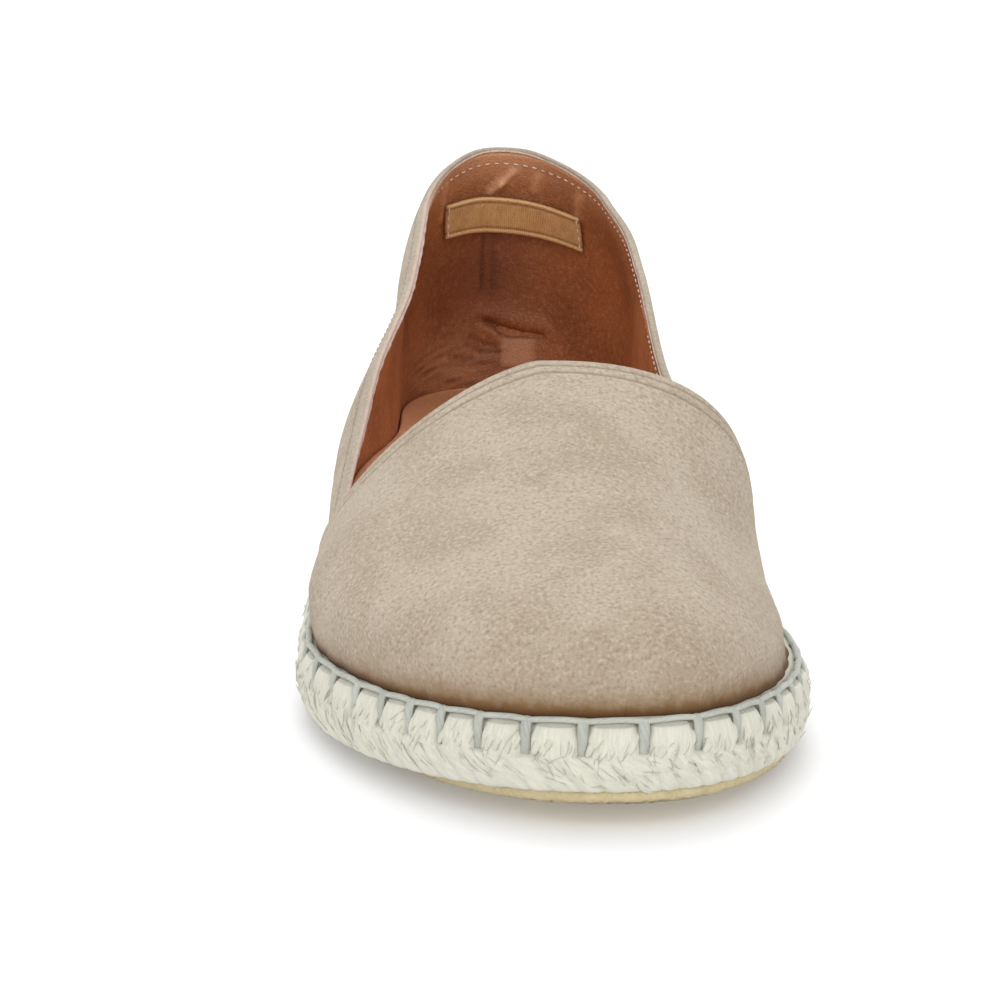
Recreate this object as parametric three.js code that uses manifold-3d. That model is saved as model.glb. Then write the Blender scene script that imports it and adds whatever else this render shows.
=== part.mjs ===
// Slip-on espadrille for the right foot, in millimetres, standing on z = 0.
// +Z is up, the heel is at +Y and the toe at -Y, the lateral side is -X and the medial side +X.
// Every form is worked out from stations along the shoe: s runs from 0 at the back of the
// sole to the full length at the toe.

import * as THREE from 'three';
import Module from 'manifold-3d';

const wasm = await Module();
wasm.setup();

// ---- Main sizes ----
const LENGTH = 256;
const HEEL_ROUND = 33;
const TOE_ROUND_LATERAL = 84;
const TOE_ROUND_MEDIAL = 76;
const HEEL_POWER = 2.1;
const TOE_POWER = 2.15;

// Sole stack: crepe outsole, rope midsole and the ledge left outside the upper.
const CREPE = 2.7;
const STACK_HEEL = 19.5;
const STACK_BALL = 16.3;
const STACK_HEEL_END = 60;
const STACK_BALL_START = 185;
const LEDGE = 4;
const CREPE_INSET = 2.7;
const ROPE_TUCK_BOTTOM = 2.4;
const ROPE_TUCK_TOP = 1.3;
const ROPE_ROUND = 0.98;
const TOE_SPRING = 5.2;
const SPRING_START = 165;
const ARCH_LIFT = 1.2;
const ARCH_START = 78;
const ARCH_END = 142;

// Upper, insole and pull tape.
const GAP = 0.3;
const WALL = 1.9;
const VAMP_PROUD = 0.8;
const TOE_CAP_RUN = 38;
const TOE_CAP_POWER = 2.4;
const END_FADE = 10;
const RIDGE_FADE = 20;
const INSOLE_THICK = 2.4;
const INSOLE_CLEAR = 0.6;
const COUNTER_REACH = 90;
const COUNTER_FADE = 1.5;
const TAPE_HEIGHT = 8.2;
const TAPE_THICK = 0.9;
const TAPE_MID_Z = 61.6;
const TAPE_ARCH = 2.1;
const TAPE_TILT = 1.4;
const TAPE_CLEAR = 0.45;
const TAPE_STAND_OFF = 1.6;
const TAPE_END_LATERAL = 10;
const TAPE_END_MEDIAL = 13;

// Mesh counts.
const SOLE_STATIONS = 56;
const UPPER_STATIONS = 50;
const TUCK_STEPS = 4;
const CROWN_STEPS = 12;
const ROPE_LEVELS = 7;
const TAPE_STEPS = 28;
const EDGE_STEPS = 28;

// Middle line of the shoe, drifting with the curve of the foot.
const MIDLINE = [
  { s: 0, x: 0.5 },
  { s: 30, x: 2.0 },
  { s: 60, x: 2.0 },
  { s: 100, x: 0.4 },
  { s: 140, x: 0 },
  { s: 170, x: 0 },
  { s: 200, x: 0.4 },
  { s: 230, x: 1.6 },
  { s: 256, x: 3.4 },
];

// Half widths of the sole on each side of the middle line, before the ends are rounded.
const SOLE = [
  { s: 0, lateral: 29.5, medial: 30 },
  { s: 30, lateral: 30.5, medial: 30.5 },
  { s: 60, lateral: 33.2, medial: 29.8 },
  { s: 95, lateral: 40.2, medial: 30.6 },
  { s: 125, lateral: 45, medial: 34 },
  { s: 150, lateral: 48, medial: 38.6 },
  { s: 170, lateral: 50, medial: 41.8 },
  { s: 188, lateral: 51.3, medial: 43.7 },
  { s: 207, lateral: 50.8, medial: 44.3 },
  { s: 256, lateral: 48, medial: 41 },
];

// How much further in than the rope the crepe is cut, mostly along the lateral forefoot.
const CREPE_TRIM = [
  { s: 0, lateral: 0, medial: 0 },
  { s: 110, lateral: 0, medial: 0 },
  { s: 140, lateral: 2.2, medial: 0 },
  { s: 170, lateral: 4.6, medial: 0.2 },
  { s: 200, lateral: 5.2, medial: 0.3 },
  { s: 222, lateral: 4.6, medial: 0.3 },
  { s: 238, lateral: 2.8, medial: 0.2 },
  { s: 249, lateral: 1.2, medial: 0.1 },
  { s: 256, lateral: 0, medial: 0 },
];

// Cross-sections of the last. The bulge is how far the widest line stands outside the
// upper's foot, the girth its height, the crown the top of the section over the foot,
// and the fullness the roundness of the crown (2 is an ellipse).
const LAST = [
  { s: 0, bulgeLat: -0.3, bulgeMed: 1.4, girthLat: 16, girthMed: 16, crown: 67, crownX: 0,
    fullLat: 1.95, fullMed: 2 },
  { s: 30, bulgeLat: -1.5, bulgeMed: 1.3, girthLat: 16, girthMed: 16, crown: 66.5, crownX: 0,
    fullLat: 2.08, fullMed: 2.05 },
  { s: 50, bulgeLat: -0.9, bulgeMed: 1.2, girthLat: 15, girthMed: 16, crown: 63.5, crownX: 0,
    fullLat: 2, fullMed: 2.8 },
  { s: 70, bulgeLat: 1, bulgeMed: 1.2, girthLat: 14, girthMed: 16, crown: 59.5, crownX: 0,
    fullLat: 1.7, fullMed: 3 },
  { s: 95, bulgeLat: 2.2, bulgeMed: 1.6, girthLat: 12, girthMed: 16, crown: 54.5, crownX: 0.2,
    fullLat: 1.52, fullMed: 2.7 },
  { s: 120, bulgeLat: 1, bulgeMed: 2.8, girthLat: 9.5, girthMed: 16, crown: 50, crownX: -0.5,
    fullLat: 1.42, fullMed: 2.45 },
  { s: 148, bulgeLat: 0, bulgeMed: 3.1, girthLat: 7.5, girthMed: 14.4, crown: 43.7, crownX: -3,
    fullLat: 1.38, fullMed: 2.42 },
  { s: 165, bulgeLat: 0.6, bulgeMed: 0.4, girthLat: 7, girthMed: 10, crown: 39.6, crownX: 0.7,
    fullLat: 1.5, fullMed: 1.81 },
  { s: 185, bulgeLat: 0.8, bulgeMed: -1.9, girthLat: 7, girthMed: 4.6, crown: 32.8, crownX: 3.5,
    fullLat: 1.65, fullMed: 1.52 },
  { s: 210, bulgeLat: 0.8, bulgeMed: -1.6, girthLat: 7, girthMed: 3.5, crown: 25.8, crownX: 5.3,
    fullLat: 1.8, fullMed: 1.5 },
  { s: 235, bulgeLat: 0.6, bulgeMed: -0.5, girthLat: 6, girthMed: 5, crown: 21, crownX: 4.5,
    fullLat: 2, fullMed: 1.82 },
  { s: 256, bulgeLat: 0.5, bulgeMed: 0.2, girthLat: 6, girthMed: 6, crown: 18.5, crownX: 3,
    fullLat: 2.1, fullMed: 2.1 },
];

// Back line of the heel: how far it stands in front of the end of the sole at height z.
const BACK = [
  { z: 0, in: 4 },
  { z: 20, in: 4 },
  { z: 35, in: 2.8 },
  { z: 50, in: 4.2 },
  { z: 65, in: 7.2 },
  { z: 76, in: 10.5 },
  { z: 95, in: 16 },
];

// Top line of the quarters, seen from the side, down to the side vent.
const TOPLINE = [
  { s: 6, z: 77 },
  { s: 10, z: 76.8 },
  { s: 16, z: 74.6 },
  { s: 31, z: 69.2 },
  { s: 51, z: 62.3 },
  { s: 70, z: 55.5 },
  { s: 89, z: 49.5 },
  { s: 116, z: 39.9 },
  { s: 135, z: 33.6 },
  { s: 147.5, z: 29.5 },
];

// Throat edge of the vamp, seen from the side, from the side vent up to the instep.
const THROAT = [
  { z: 29.5, s: 147.5 },
  { z: 40, s: 148 },
  { z: 50, s: 148.8 },
  { z: 60, s: 150 },
  { z: 72, s: 152 },
];

// Side seam where the vamp laps over the quarter, from the side vent down to the sole.
const SEAM_FOOT_S = 139;
const FAR = 90;
const BELOW = 6;

// ---- Curves ----

// Smooth interpolation of one column of a table against another, with no overshoot.
function column(table, key, at, axis = 's') {
  const last = table.length - 1;
  const t = Math.min(Math.max(at, table[0][axis]), table[last][axis]);
  let i = 0;
  while (i < last - 1 && t > table[i + 1][axis]) i += 1;
  const step = (k) => table[k + 1][axis] - table[k][axis];
  const slope = (k) => (table[k + 1][key] - table[k][key]) / step(k);
  const tangent = (k) => {
    if (k === 0) return slope(0);
    if (k === last) return slope(last - 1);
    const before = slope(k - 1);
    const after = slope(k);
    if (before * after <= 0) return 0;
    return (2 * before * after) / (before + after);
  };
  const h = step(i);
  const u = (t - table[i][axis]) / h;
  const a = table[i][key];
  const b = table[i + 1][key];
  const bend = (1 - u) * tangent(i) - u * tangent(i + 1);
  const tilt = (1 - 2 * u) * (b - a);
  return a + u * (b - a) + u * (1 - u) * (h * bend - tilt);
}

// Rounds the end of a form: 0 at the very end, 1 once the run is passed.
function rounding(distance, run, power) {
  const t = Math.min(Math.max(1 - distance / run, 0), 1);
  return (1 - t ** power) ** (1 / power);
}

function smooth(t) {
  const u = Math.min(Math.max(t, 0), 1);
  return u * u * (3 - 2 * u);
}

function halfWidth(s, side, inset) {
  const key = side < 0 ? 'lateral' : 'medial';
  const toeRun = side < 0 ? TOE_ROUND_LATERAL : TOE_ROUND_MEDIAL;
  const heel = rounding(s - inset, HEEL_ROUND - inset, HEEL_POWER);
  const toe = rounding(LENGTH - inset - s, toeRun - inset, TOE_POWER);
  return (column(SOLE, key, s) - inset) * heel * toe;
}

// Height of the ground side of the sole: arch lift under the waist, spring at the toe.
function lift(s) {
  const spring = Math.max((s - SPRING_START) / (LENGTH - SPRING_START), 0);
  const arch = Math.min(Math.max((s - ARCH_START) / (ARCH_END - ARCH_START), 0), 1);
  return TOE_SPRING * spring ** 2 + ARCH_LIFT * Math.sin(Math.PI * arch) ** 2;
}

// Height of the top of the rope midsole.
function deck(s) {
  const run = (s - STACK_HEEL_END) / (STACK_BALL_START - STACK_HEEL_END);
  const spring = Math.max((s - SPRING_START) / (LENGTH - SPRING_START), 0);
  return STACK_HEEL + (STACK_BALL - STACK_HEEL) * smooth(run) + TOE_SPRING * spring ** 2;
}

// Greatest distance of the sole's edge from the y axis on one side. Half the difference
// between the two sides centres the outline across the frame.
function soleReach(side) {
  let reach = 0;
  for (let s = 0; s <= LENGTH; s += 1) {
    reach = Math.max(reach, side * column(MIDLINE, 'x', s) + halfWidth(s, side, 0));
  }
  return reach;
}
const CENTRE_X = (soleReach(1) - soleReach(-1)) / 2;

function middle(s) {
  return column(MIDLINE, 'x', s) - CENTRE_X;
}

// Stations from end to end, closer together towards the heel and the toe.
function stations(count, inset) {
  return Array.from({ length: count + 1 }, (unused, i) => {
    const t = (1 - Math.cos((Math.PI * i) / count)) / 2;
    return inset + (LENGTH - 2 * inset) * t;
  });
}

// ---- Last and upper ----

// Half of a cross-section of the last, from its foot up to the crown. A positive offset
// gives the surface inside the wall, a negative one a surface standing proud of it.
function halfSection(s, side, offset) {
  const end = side < 0 ? 'Lat' : 'Med';
  const foot = halfWidth(s, side, LEDGE + offset);
  const toe = rounding(LENGTH - LEDGE - offset - s, TOE_CAP_RUN, TOE_CAP_POWER);
  const girthX = foot + column(LAST, `bulge${end}`, s) * Math.min(foot / END_FADE, 1);
  const girthZ = column(LAST, `girth${end}`, s) * toe;
  const crownX = side * column(LAST, 'crownX', s) * Math.min(foot / RIDGE_FADE, 1);
  const crownZ = (column(LAST, 'crown', s) - offset) * toe;
  const round = 2 / column(LAST, `full${end}`, s);
  const points = [];
  for (let k = 0; k < TUCK_STEPS; k += 1) {
    const a = (Math.PI / 2) * (1 - k / TUCK_STEPS);
    const x = foot + (girthX - foot) * Math.cos(a);
    points.push([x, girthZ * (1 - Math.sin(a))]);
  }
  for (let k = 0; k <= CROWN_STEPS; k += 1) {
    const a = ((Math.PI / 2) * k) / CROWN_STEPS;
    const x = crownX + (girthX - crownX) * Math.max(Math.cos(a), 0) ** round;
    points.push([x, girthZ + (crownZ - girthZ) * Math.sin(a) ** round]);
  }
  return points.map(([x, z]) => place(s, side * x, deck(s) + GAP + z));
}

// Puts a point of a section in the frame, leaning the heel along its back line.
function place(s, x, z) {
  const reach = Math.max(1 - s / COUNTER_REACH, 0) ** COUNTER_FADE;
  const lean = column(BACK, 'in', z, 'z') - LEDGE;
  return [middle(s) + x, LENGTH / 2 - s - lean * reach, z];
}

// Closed body through the cross-sections, with its foot carried down by `drop`.
function lastBody(offset, drop) {
  const rows = stations(UPPER_STATIONS, LEDGE + offset).map((s) => {
    const lateral = halfSection(s, -1, offset);
    const medial = halfSection(s, 1, offset).reverse().slice(1);
    const row = [...lateral, ...medial];
    const foot = [row[0], row[row.length - 1]].map(([x, y, z]) => [x, y, z - drop]);
    return drop > 0 ? [foot[0], ...row, foot[1]] : row;
  });
  return skin(rows);
}

// Skins a list of equal rows into a closed body. The first row folds onto itself along
// the back line and the last row shrinks to the toe point.
function skin(rows) {
  const positions = [];
  const add = (p) => positions.push(...p) / 3 - 1;
  const width = rows[0].length;
  const half = (width - 1) / 2;
  const ids = rows.map((row, i) => {
    if (i === 0) {
      const fold = row.slice(0, half + 1).map(add);
      return row.map((unused, j) => fold[Math.min(j, width - 1 - j)]);
    }
    if (i === rows.length - 1) {
      const tip = add(row[0]);
      return row.map(() => tip);
    }
    return row.map(add);
  });
  const faces = [];
  const quad = (a, b, c, d) => {
    if (a !== b && b !== c && c !== a) faces.push(a, b, c);
    if (a !== c && c !== d && d !== a) faces.push(a, c, d);
  };
  for (let i = 0; i < ids.length - 1; i += 1) {
    for (let j = 0; j < width - 1; j += 1) {
      quad(ids[i][j], ids[i][j + 1], ids[i + 1][j + 1], ids[i + 1][j]);
    }
    quad(ids[i][width - 1], ids[i][0], ids[i + 1][0], ids[i + 1][width - 1]);
  }
  return solid(positions, faces);
}

// ---- Solids ----

function solid(positions, faces) {
  const mesh = new wasm.Mesh({
    numProp: 3,
    vertProperties: new Float32Array(positions),
    triVerts: new Uint32Array(faces),
  });
  const body = new wasm.Manifold(mesh);
  if (body.volume() > 0) return body;
  const turned = [];
  for (let i = 0; i < faces.length; i += 3) {
    turned.push(faces[i], faces[i + 2], faces[i + 1]);
  }
  return solid(positions, turned);
}

// Layer of the sole: a stack of outlines, each with its own inset and height along s, and
// all drawn in by the same trim.
function layer(levels, trim = () => 0) {
  const positions = [];
  const add = (p) => positions.push(...p) / 3 - 1;
  const rings = levels.map(({ inset, height }) => {
    const line = stations(SOLE_STATIONS, inset);
    const point = (s, side) => {
      const x = middle(s) + side * Math.max(halfWidth(s, side, inset) - trim(s, side), 0);
      return add([x, LENGTH / 2 - s, height(s)]);
    };
    const lateral = line.map((s) => point(s, -1));
    const medial = line.slice(1, -1).map((s) => point(s, 1));
    return { lateral, medial: [lateral[0], ...medial, lateral[line.length - 1]] };
  });
  const faces = [];
  const quad = (a, b, c, d) => {
    if (a !== b) faces.push(a, b, c);
    if (c !== d) faces.push(a, c, d);
  };
  const bottom = rings[0];
  const top = rings[rings.length - 1];
  for (let i = 0; i < SOLE_STATIONS; i += 1) {
    for (let k = 0; k < rings.length - 1; k += 1) {
      const low = rings[k];
      const high = rings[k + 1];
      faces.push(low.lateral[i], low.lateral[i + 1], high.lateral[i + 1]);
      faces.push(low.lateral[i], high.lateral[i + 1], high.lateral[i]);
      faces.push(low.medial[i], high.medial[i + 1], low.medial[i + 1]);
      faces.push(low.medial[i], high.medial[i], high.medial[i + 1]);
    }
    quad(top.medial[i], top.lateral[i], top.lateral[i + 1], top.medial[i + 1]);
    quad(bottom.lateral[i], bottom.medial[i], bottom.medial[i + 1], bottom.lateral[i + 1]);
  }
  return solid(positions, faces);
}

// Straight prism across the shoe from a side-view outline of [s, z] points.
function sidePrism(outline) {
  const flat = outline.map(([s, z]) => new THREE.Vector2(LENGTH / 2 - s, z));
  if (THREE.ShapeUtils.isClockWise(flat)) flat.reverse();
  const caps = THREE.ShapeUtils.triangulateShape(flat, []);
  const n = flat.length;
  const positions = [-FAR, FAR].flatMap((x) => flat.flatMap((p) => [x, p.x, p.y]));
  const faces = caps.flatMap(([a, b, c]) => [a, c, b, a + n, b + n, c + n]);
  for (let i = 0; i < n; i += 1) {
    const j = (i + 1) % n;
    faces.push(i, j, j + n, i, j + n, i + n);
  }
  return solid(positions, faces);
}

function sampled(table, from, to, axis, key) {
  return Array.from({ length: EDGE_STEPS + 1 }, (unused, i) => {
    const at = from + ((to - from) * i) / EDGE_STEPS;
    return { [axis]: at, [key]: column(table, key, at, axis) };
  });
}

// ---- Pieces ----

function makeOutsole() {
  const top = (s) => lift(s) + CREPE;
  const trim = (s, side) => column(CREPE_TRIM, side < 0 ? 'lateral' : 'medial', s);
  const levels = [
    { inset: CREPE_INSET, height: lift },
    { inset: CREPE_INSET, height: top },
  ];
  return layer(levels, trim);
}

function makeRopeSole() {
  const levels = Array.from({ length: ROPE_LEVELS }, (unused, k) => {
    const u = k / (ROPE_LEVELS - 1);
    const tuck = u < 0.5 ? ROPE_TUCK_BOTTOM : ROPE_TUCK_TOP;
    const round = 1 - Math.sqrt(1 - (ROPE_ROUND * (2 * u - 1)) ** 2);
    const height = (s) => {
      const low = lift(s) + CREPE + GAP;
      return low + (deck(s) - low) * (1 - Math.cos(Math.PI * u)) / 2;
    };
    return { inset: tuck * round, height };
  });
  return layer(levels);
}

// Padded insole, cut narrower where the wall leans in over it.
function makeInsole() {
  const inset = LEDGE + WALL + INSOLE_CLEAR;
  const trim = (s, side) => {
    const leansIn = -column(LAST, side < 0 ? 'bulgeLat' : 'bulgeMed', s);
    return Math.max(leansIn, 0);
  };
  const levels = [
    { inset, height: (s) => deck(s) + GAP },
    { inset, height: (s) => deck(s) + GAP + INSOLE_THICK },
  ];
  return layer(levels, trim);
}

// Hollow upper: the quarters, the vamp standing proud over them, less the foot's room
// and the opening cut down to the side vents.
function makeUpper() {
  const heelTop = TOPLINE[0].z;
  const throatTop = THROAT[THROAT.length - 1];
  const vent = THROAT[0];
  const throat = sampled(THROAT, vent.z, throatTop.z, 'z', 's').map(({ s, z }) => [s, z]);
  const topline = sampled(TOPLINE, TOPLINE[0].s, vent.s, 's', 'z').map(({ s, z }) => [s, z]);
  const opening = sidePrism([
    ...topline,
    ...throat.slice(1),
    [throatTop.s, FAR + heelTop],
    [-FAR, FAR + heelTop],
    [-FAR, heelTop],
  ]);
  const front = sidePrism([
    [SEAM_FOOT_S, -FAR],
    [SEAM_FOOT_S, 0],
    ...throat,
    [throatTop.s, FAR],
    [LENGTH + FAR, FAR],
    [LENGTH + FAR, -FAR],
  ]);
  const quarters = lastBody(0, 0);
  const vamp = lastBody(-VAMP_PROUD, 0).intersect(front);
  return quarters.add(vamp).subtract(lastBody(WALL, BELOW)).subtract(opening);
}

// Half width of the last at a station and height, on the surface set by the offset.
function widthAt(s, side, z, offset) {
  const end = side < 0 ? 'Lat' : 'Med';
  const foot = halfWidth(s, side, LEDGE + offset);
  const girthX = foot + column(LAST, `bulge${end}`, s) * Math.min(foot / END_FADE, 1);
  const girthZ = column(LAST, `girth${end}`, s);
  const full = column(LAST, `full${end}`, s);
  const rise = column(LAST, 'crown', s) - offset - girthZ;
  const up = Math.max((z - deck(s) - GAP - girthZ) / rise, 0);
  return girthX * (1 - up ** full) ** (1 / full);
}

// Pull tape across the inside of the heel, sewn at both ends and standing off between.
function makeTape() {
  const positions = [];
  const faces = [];
  for (let i = 0; i <= TAPE_STEPS; i += 1) {
    const u = (2 * i) / TAPE_STEPS - 1;
    const side = u < 0 ? -1 : 1;
    const free = TAPE_STAND_OFF * (1 - u ** 4);
    const low = TAPE_MID_Z - TAPE_HEIGHT / 2 - TAPE_ARCH * u ** 2 - TAPE_TILT * u;
    const corner = (depth, z) => {
      const offset = WALL + TAPE_CLEAR + free + depth;
      const end = side < 0 ? TAPE_END_LATERAL : TAPE_END_MEDIAL;
      const s = LEDGE + offset + (end - LEDGE) * u ** 2;
      return place(s, side * widthAt(s, side, z, offset), z);
    };
    positions.push(...corner(0, low), ...corner(0, low + TAPE_HEIGHT));
    positions.push(...corner(TAPE_THICK, low + TAPE_HEIGHT), ...corner(TAPE_THICK, low));
    if (i === TAPE_STEPS) continue;
    for (let k = 0; k < 4; k += 1) {
      const a = 4 * i + k;
      const b = 4 * i + ((k + 1) % 4);
      faces.push(a, b, b + 4, a, b + 4, a + 4);
    }
  }
  const tip = 4 * TAPE_STEPS;
  faces.push(0, 2, 1, 0, 3, 2, tip, tip + 1, tip + 2, tip, tip + 2, tip + 3);
  return solid(positions, faces);
}

// ---- Assembly ----

function node(name, body, colour, roughness) {
  const { vertProperties, triVerts } = body.getMesh();
  const geometry = new THREE.BufferGeometry();
  geometry.setAttribute('position', new THREE.BufferAttribute(vertProperties, 3));
  geometry.setIndex(new THREE.BufferAttribute(triVerts, 1));
  geometry.computeVertexNormals();
  const material = new THREE.MeshStandardMaterial({ color: colour, roughness, metalness: 0 });
  const mesh = new THREE.Mesh(geometry, material);
  mesh.name = name;
  return mesh;
}

const espadrille = new THREE.Group();
espadrille.name = 'espadrille';
espadrille.add(
  node('outsole', makeOutsole(), '#cfc3a1', 0.85),
  node('jute_sole', makeRopeSole(), '#dad6c4', 0.95),
  node('insole', makeInsole(), '#98623f', 0.6),
  node('upper', makeUpper(), '#c6b7a3', 0.95),
  node('heel_tape', makeTape(), '#a67b4f', 0.8),
);

export default espadrille;
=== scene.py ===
# %% [markdown]
# # A right-foot espadrille
# The shoe is a suede slip-on sewn to a rope sole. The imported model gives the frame, in
# metres: +Z up, heel at +Y, toe at -Y, lateral side at -X and medial side at +X. Each step
# below makes one piece or one finish, from the sole upwards, in the order a maker would.

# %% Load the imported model
import math
import bpy
import bmesh
import numpy as np
from mathutils import Matrix, Vector


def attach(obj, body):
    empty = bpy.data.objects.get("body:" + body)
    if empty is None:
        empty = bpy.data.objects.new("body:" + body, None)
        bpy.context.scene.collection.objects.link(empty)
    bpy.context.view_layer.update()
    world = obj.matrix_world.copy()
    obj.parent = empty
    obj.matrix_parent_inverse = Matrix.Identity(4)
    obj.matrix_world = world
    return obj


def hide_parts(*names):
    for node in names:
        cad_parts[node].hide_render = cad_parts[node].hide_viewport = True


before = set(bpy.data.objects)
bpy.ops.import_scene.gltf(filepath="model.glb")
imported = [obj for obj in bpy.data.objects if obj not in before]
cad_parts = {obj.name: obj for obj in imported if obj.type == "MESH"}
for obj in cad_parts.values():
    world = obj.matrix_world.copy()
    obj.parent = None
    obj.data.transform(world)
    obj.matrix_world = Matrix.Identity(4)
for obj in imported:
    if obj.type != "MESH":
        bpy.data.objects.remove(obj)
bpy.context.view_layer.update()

MM = 0.001
BODY = "root"
scene = bpy.context.scene

# %% [markdown]
# ## The shoe's own sizes
# A shoemaker works from a last: a form measured at stations along its length. The charts
# hold the same stations as the solid model, s being the distance in millimetres from the
# back of the sole. Reading a chart with a smooth curve gives the size at any station, so
# every stitch and panel can follow the same surface.

# %% Charts with named columns
def chart(names, *rows):
    """Turns rows of numbers into named columns."""
    return dict(zip(names.split(), np.array(rows, float).T))


MIDLINE = chart(
    "s x",
    (0, 0.5), (30, 2.0), (60, 2.0), (100, 0.4), (140, 0), (170, 0),
    (200, 0.4), (230, 1.6), (256, 3.4),
)
SOLE = chart(
    "s lateral medial",
    (0, 29.5, 30), (30, 30.5, 30.5), (60, 33.2, 29.8), (95, 40.2, 30.6),
    (125, 45, 34), (150, 48, 38.6), (170, 50, 41.8), (188, 51.3, 43.7),
    (207, 50.8, 44.3), (256, 48, 41),
)
LAST = chart(
    "s bulge_lat bulge_med girth_lat girth_med crown crown_x full_lat full_med",
    (0, -0.3, 1.4, 16, 16, 67, 0, 1.95, 2),
    (30, -1.5, 1.3, 16, 16, 66.5, 0, 2.08, 2.05),
    (50, -0.9, 1.2, 15, 16, 63.5, 0, 2, 2.8),
    (70, 1, 1.2, 14, 16, 59.5, 0, 1.7, 3),
    (95, 2.2, 1.6, 12, 16, 54.5, 0.2, 1.52, 2.7),
    (120, 1, 2.8, 9.5, 16, 50, -0.5, 1.42, 2.45),
    (148, 0, 3.1, 7.5, 14.4, 43.7, -3, 1.38, 2.42),
    (165, 0.6, 0.4, 7, 10, 39.6, 0.7, 1.5, 1.81),
    (185, 0.8, -1.9, 7, 4.6, 32.8, 3.5, 1.65, 1.52),
    (210, 0.8, -1.6, 7, 3.5, 25.8, 5.3, 1.8, 1.5),
    (235, 0.6, -0.5, 6, 5, 21, 4.5, 2, 1.82),
    (256, 0.5, 0.2, 6, 6, 18.5, 3, 2.1, 2.1),
)
CREPE_TRIM = chart(
    "s lateral medial",
    (0, 0, 0), (110, 0, 0), (140, 2.2, 0), (170, 4.6, 0.2), (200, 5.2, 0.3),
    (222, 4.6, 0.3), (238, 2.8, 0.2), (249, 1.2, 0.1), (256, 0, 0),
)
BACK = chart(
    "z lean",
    (0, 4), (20, 4), (35, 2.8), (50, 4.2), (65, 7.2), (76, 10.5), (95, 16),
)
TOPLINE = chart(
    "s z",
    (6, 77), (10, 76.8), (16, 74.6), (31, 69.2), (51, 62.3), (70, 55.5),
    (89, 49.5), (116, 39.9), (135, 33.6), (147.5, 29.5),
)
EDGE = chart(
    "z s",
    (16, 139), (29.5, 147.5), (40, 148), (50, 148.8), (60, 150), (72, 152),
)

# %% Sizes that hold all round the shoe
LENGTH = 256
HEEL_ROUND, HEEL_POWER = 33, 2.1
TOE_ROUND_LATERAL, TOE_ROUND_MEDIAL, TOE_POWER = 84, 76, 2.15
CREPE, STACK_HEEL, STACK_BALL = 2.7, 19.5, 16.3
STACK_START, STACK_RUN = 60, 125
TOE_SPRING, SPRING_START = 5.2, 165
ARCH_LIFT, ARCH_START, ARCH_RUN = 1.2, 78, 64
LEDGE, GAP, WALL, VAMP_PROUD = 4, 0.3, 1.9, 0.8
TOE_CAP_RUN, TOE_CAP_POWER = 38, 2.4
END_FADE, CROWN_FADE = 10, 20
COUNTER_REACH, COUNTER_FADE = 90, 1.5
INSOLE_THICK = 2.4
TUCK_SHARE = 0.14
SEAM_S = EDGE["s"][1]
SETTLE_STEPS, FIRST_TOP, FIRST_EDGE = 20, 60.0, 147.0


def read(table, name, at, by="s"):
    """Smooth curve through one column of a chart, with no overshoot."""
    x, y = table[by], table[name]
    at = np.clip(at, x[0], x[-1])
    step = np.diff(x)
    slope = np.diff(y) / step
    pair = slope[:-1] * slope[1:]
    total = np.where(pair > 0, slope[:-1] + slope[1:], 1)
    inner = np.where(pair > 0, 2 * pair / total, 0)
    tangent = np.concatenate([slope[:1], inner, slope[-1:]])
    i = np.clip(np.searchsorted(x, at, side="right") - 1, 0, len(x) - 2)
    u = (at - x[i]) / step[i]
    bend = (1 - u) * tangent[i] - u * tangent[i + 1]
    rise = y[i + 1] - y[i]
    return y[i] + u * rise + u * (1 - u) * (step[i] * bend - (1 - 2 * u) * rise)


def rounding(distance, run, power):
    """Rounds the end of a form: 0 at the very end, 1 once the run is passed."""
    t = np.clip(1 - distance / run, 0, 1)
    return (1 - t**power) ** (1 / power)


def smooth(t):
    """Soft step from 0 to 1 while t goes from 0 to 1."""
    t = np.clip(t, 0, 1)
    return t * t * (3 - 2 * t)


def by_side(side, lateral, medial):
    """One value where side is below 0, the lateral side, and the other elsewhere."""
    return np.where(side < 0, lateral, medial)


# %% The outline and the floor of the shoe
def half_width(s, side, inset=0.0):
    """Half width of the sole on one side, drawn in by the inset."""
    width = by_side(side, read(SOLE, "lateral", s), read(SOLE, "medial", s))
    toe_run = by_side(side, TOE_ROUND_LATERAL, TOE_ROUND_MEDIAL)
    heel = rounding(s - inset, HEEL_ROUND - inset, HEEL_POWER)
    toe = rounding(LENGTH - inset - s, toe_run - inset, TOE_POWER)
    return (width - inset) * heel * toe


def spring(s):
    """How far the toe curves up off the floor."""
    return TOE_SPRING * np.clip((s - SPRING_START) / (LENGTH - SPRING_START), 0, 1) ** 2


def lift(s):
    """Underside of the crepe: flat at heel and ball, lifted at the arch and the toe."""
    arch = np.pi * np.clip((s - ARCH_START) / ARCH_RUN, 0, 1)
    return spring(s) + ARCH_LIFT * np.sin(arch) ** 2


def deck(s):
    """Top of the rope sole."""
    thinning = (STACK_BALL - STACK_HEEL) * smooth((s - STACK_START) / STACK_RUN)
    return STACK_HEEL + thinning + spring(s)


every_mm = np.arange(0, LENGTH + 1.0)
reach = [
    np.max(side * read(MIDLINE, "x", every_mm) + half_width(every_mm, side))
    for side in (-1, 1)
]
CENTRE_X = (reach[1] - reach[0]) / 2


def middle(s):
    """Middle line of the shoe, with the whole width centred on x = 0."""
    return read(MIDLINE, "x", s) - CENTRE_X


print("rope sole is", round(sum(reach), 1), "mm wide; middle line moved", round(-CENTRE_X, 2))

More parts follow.
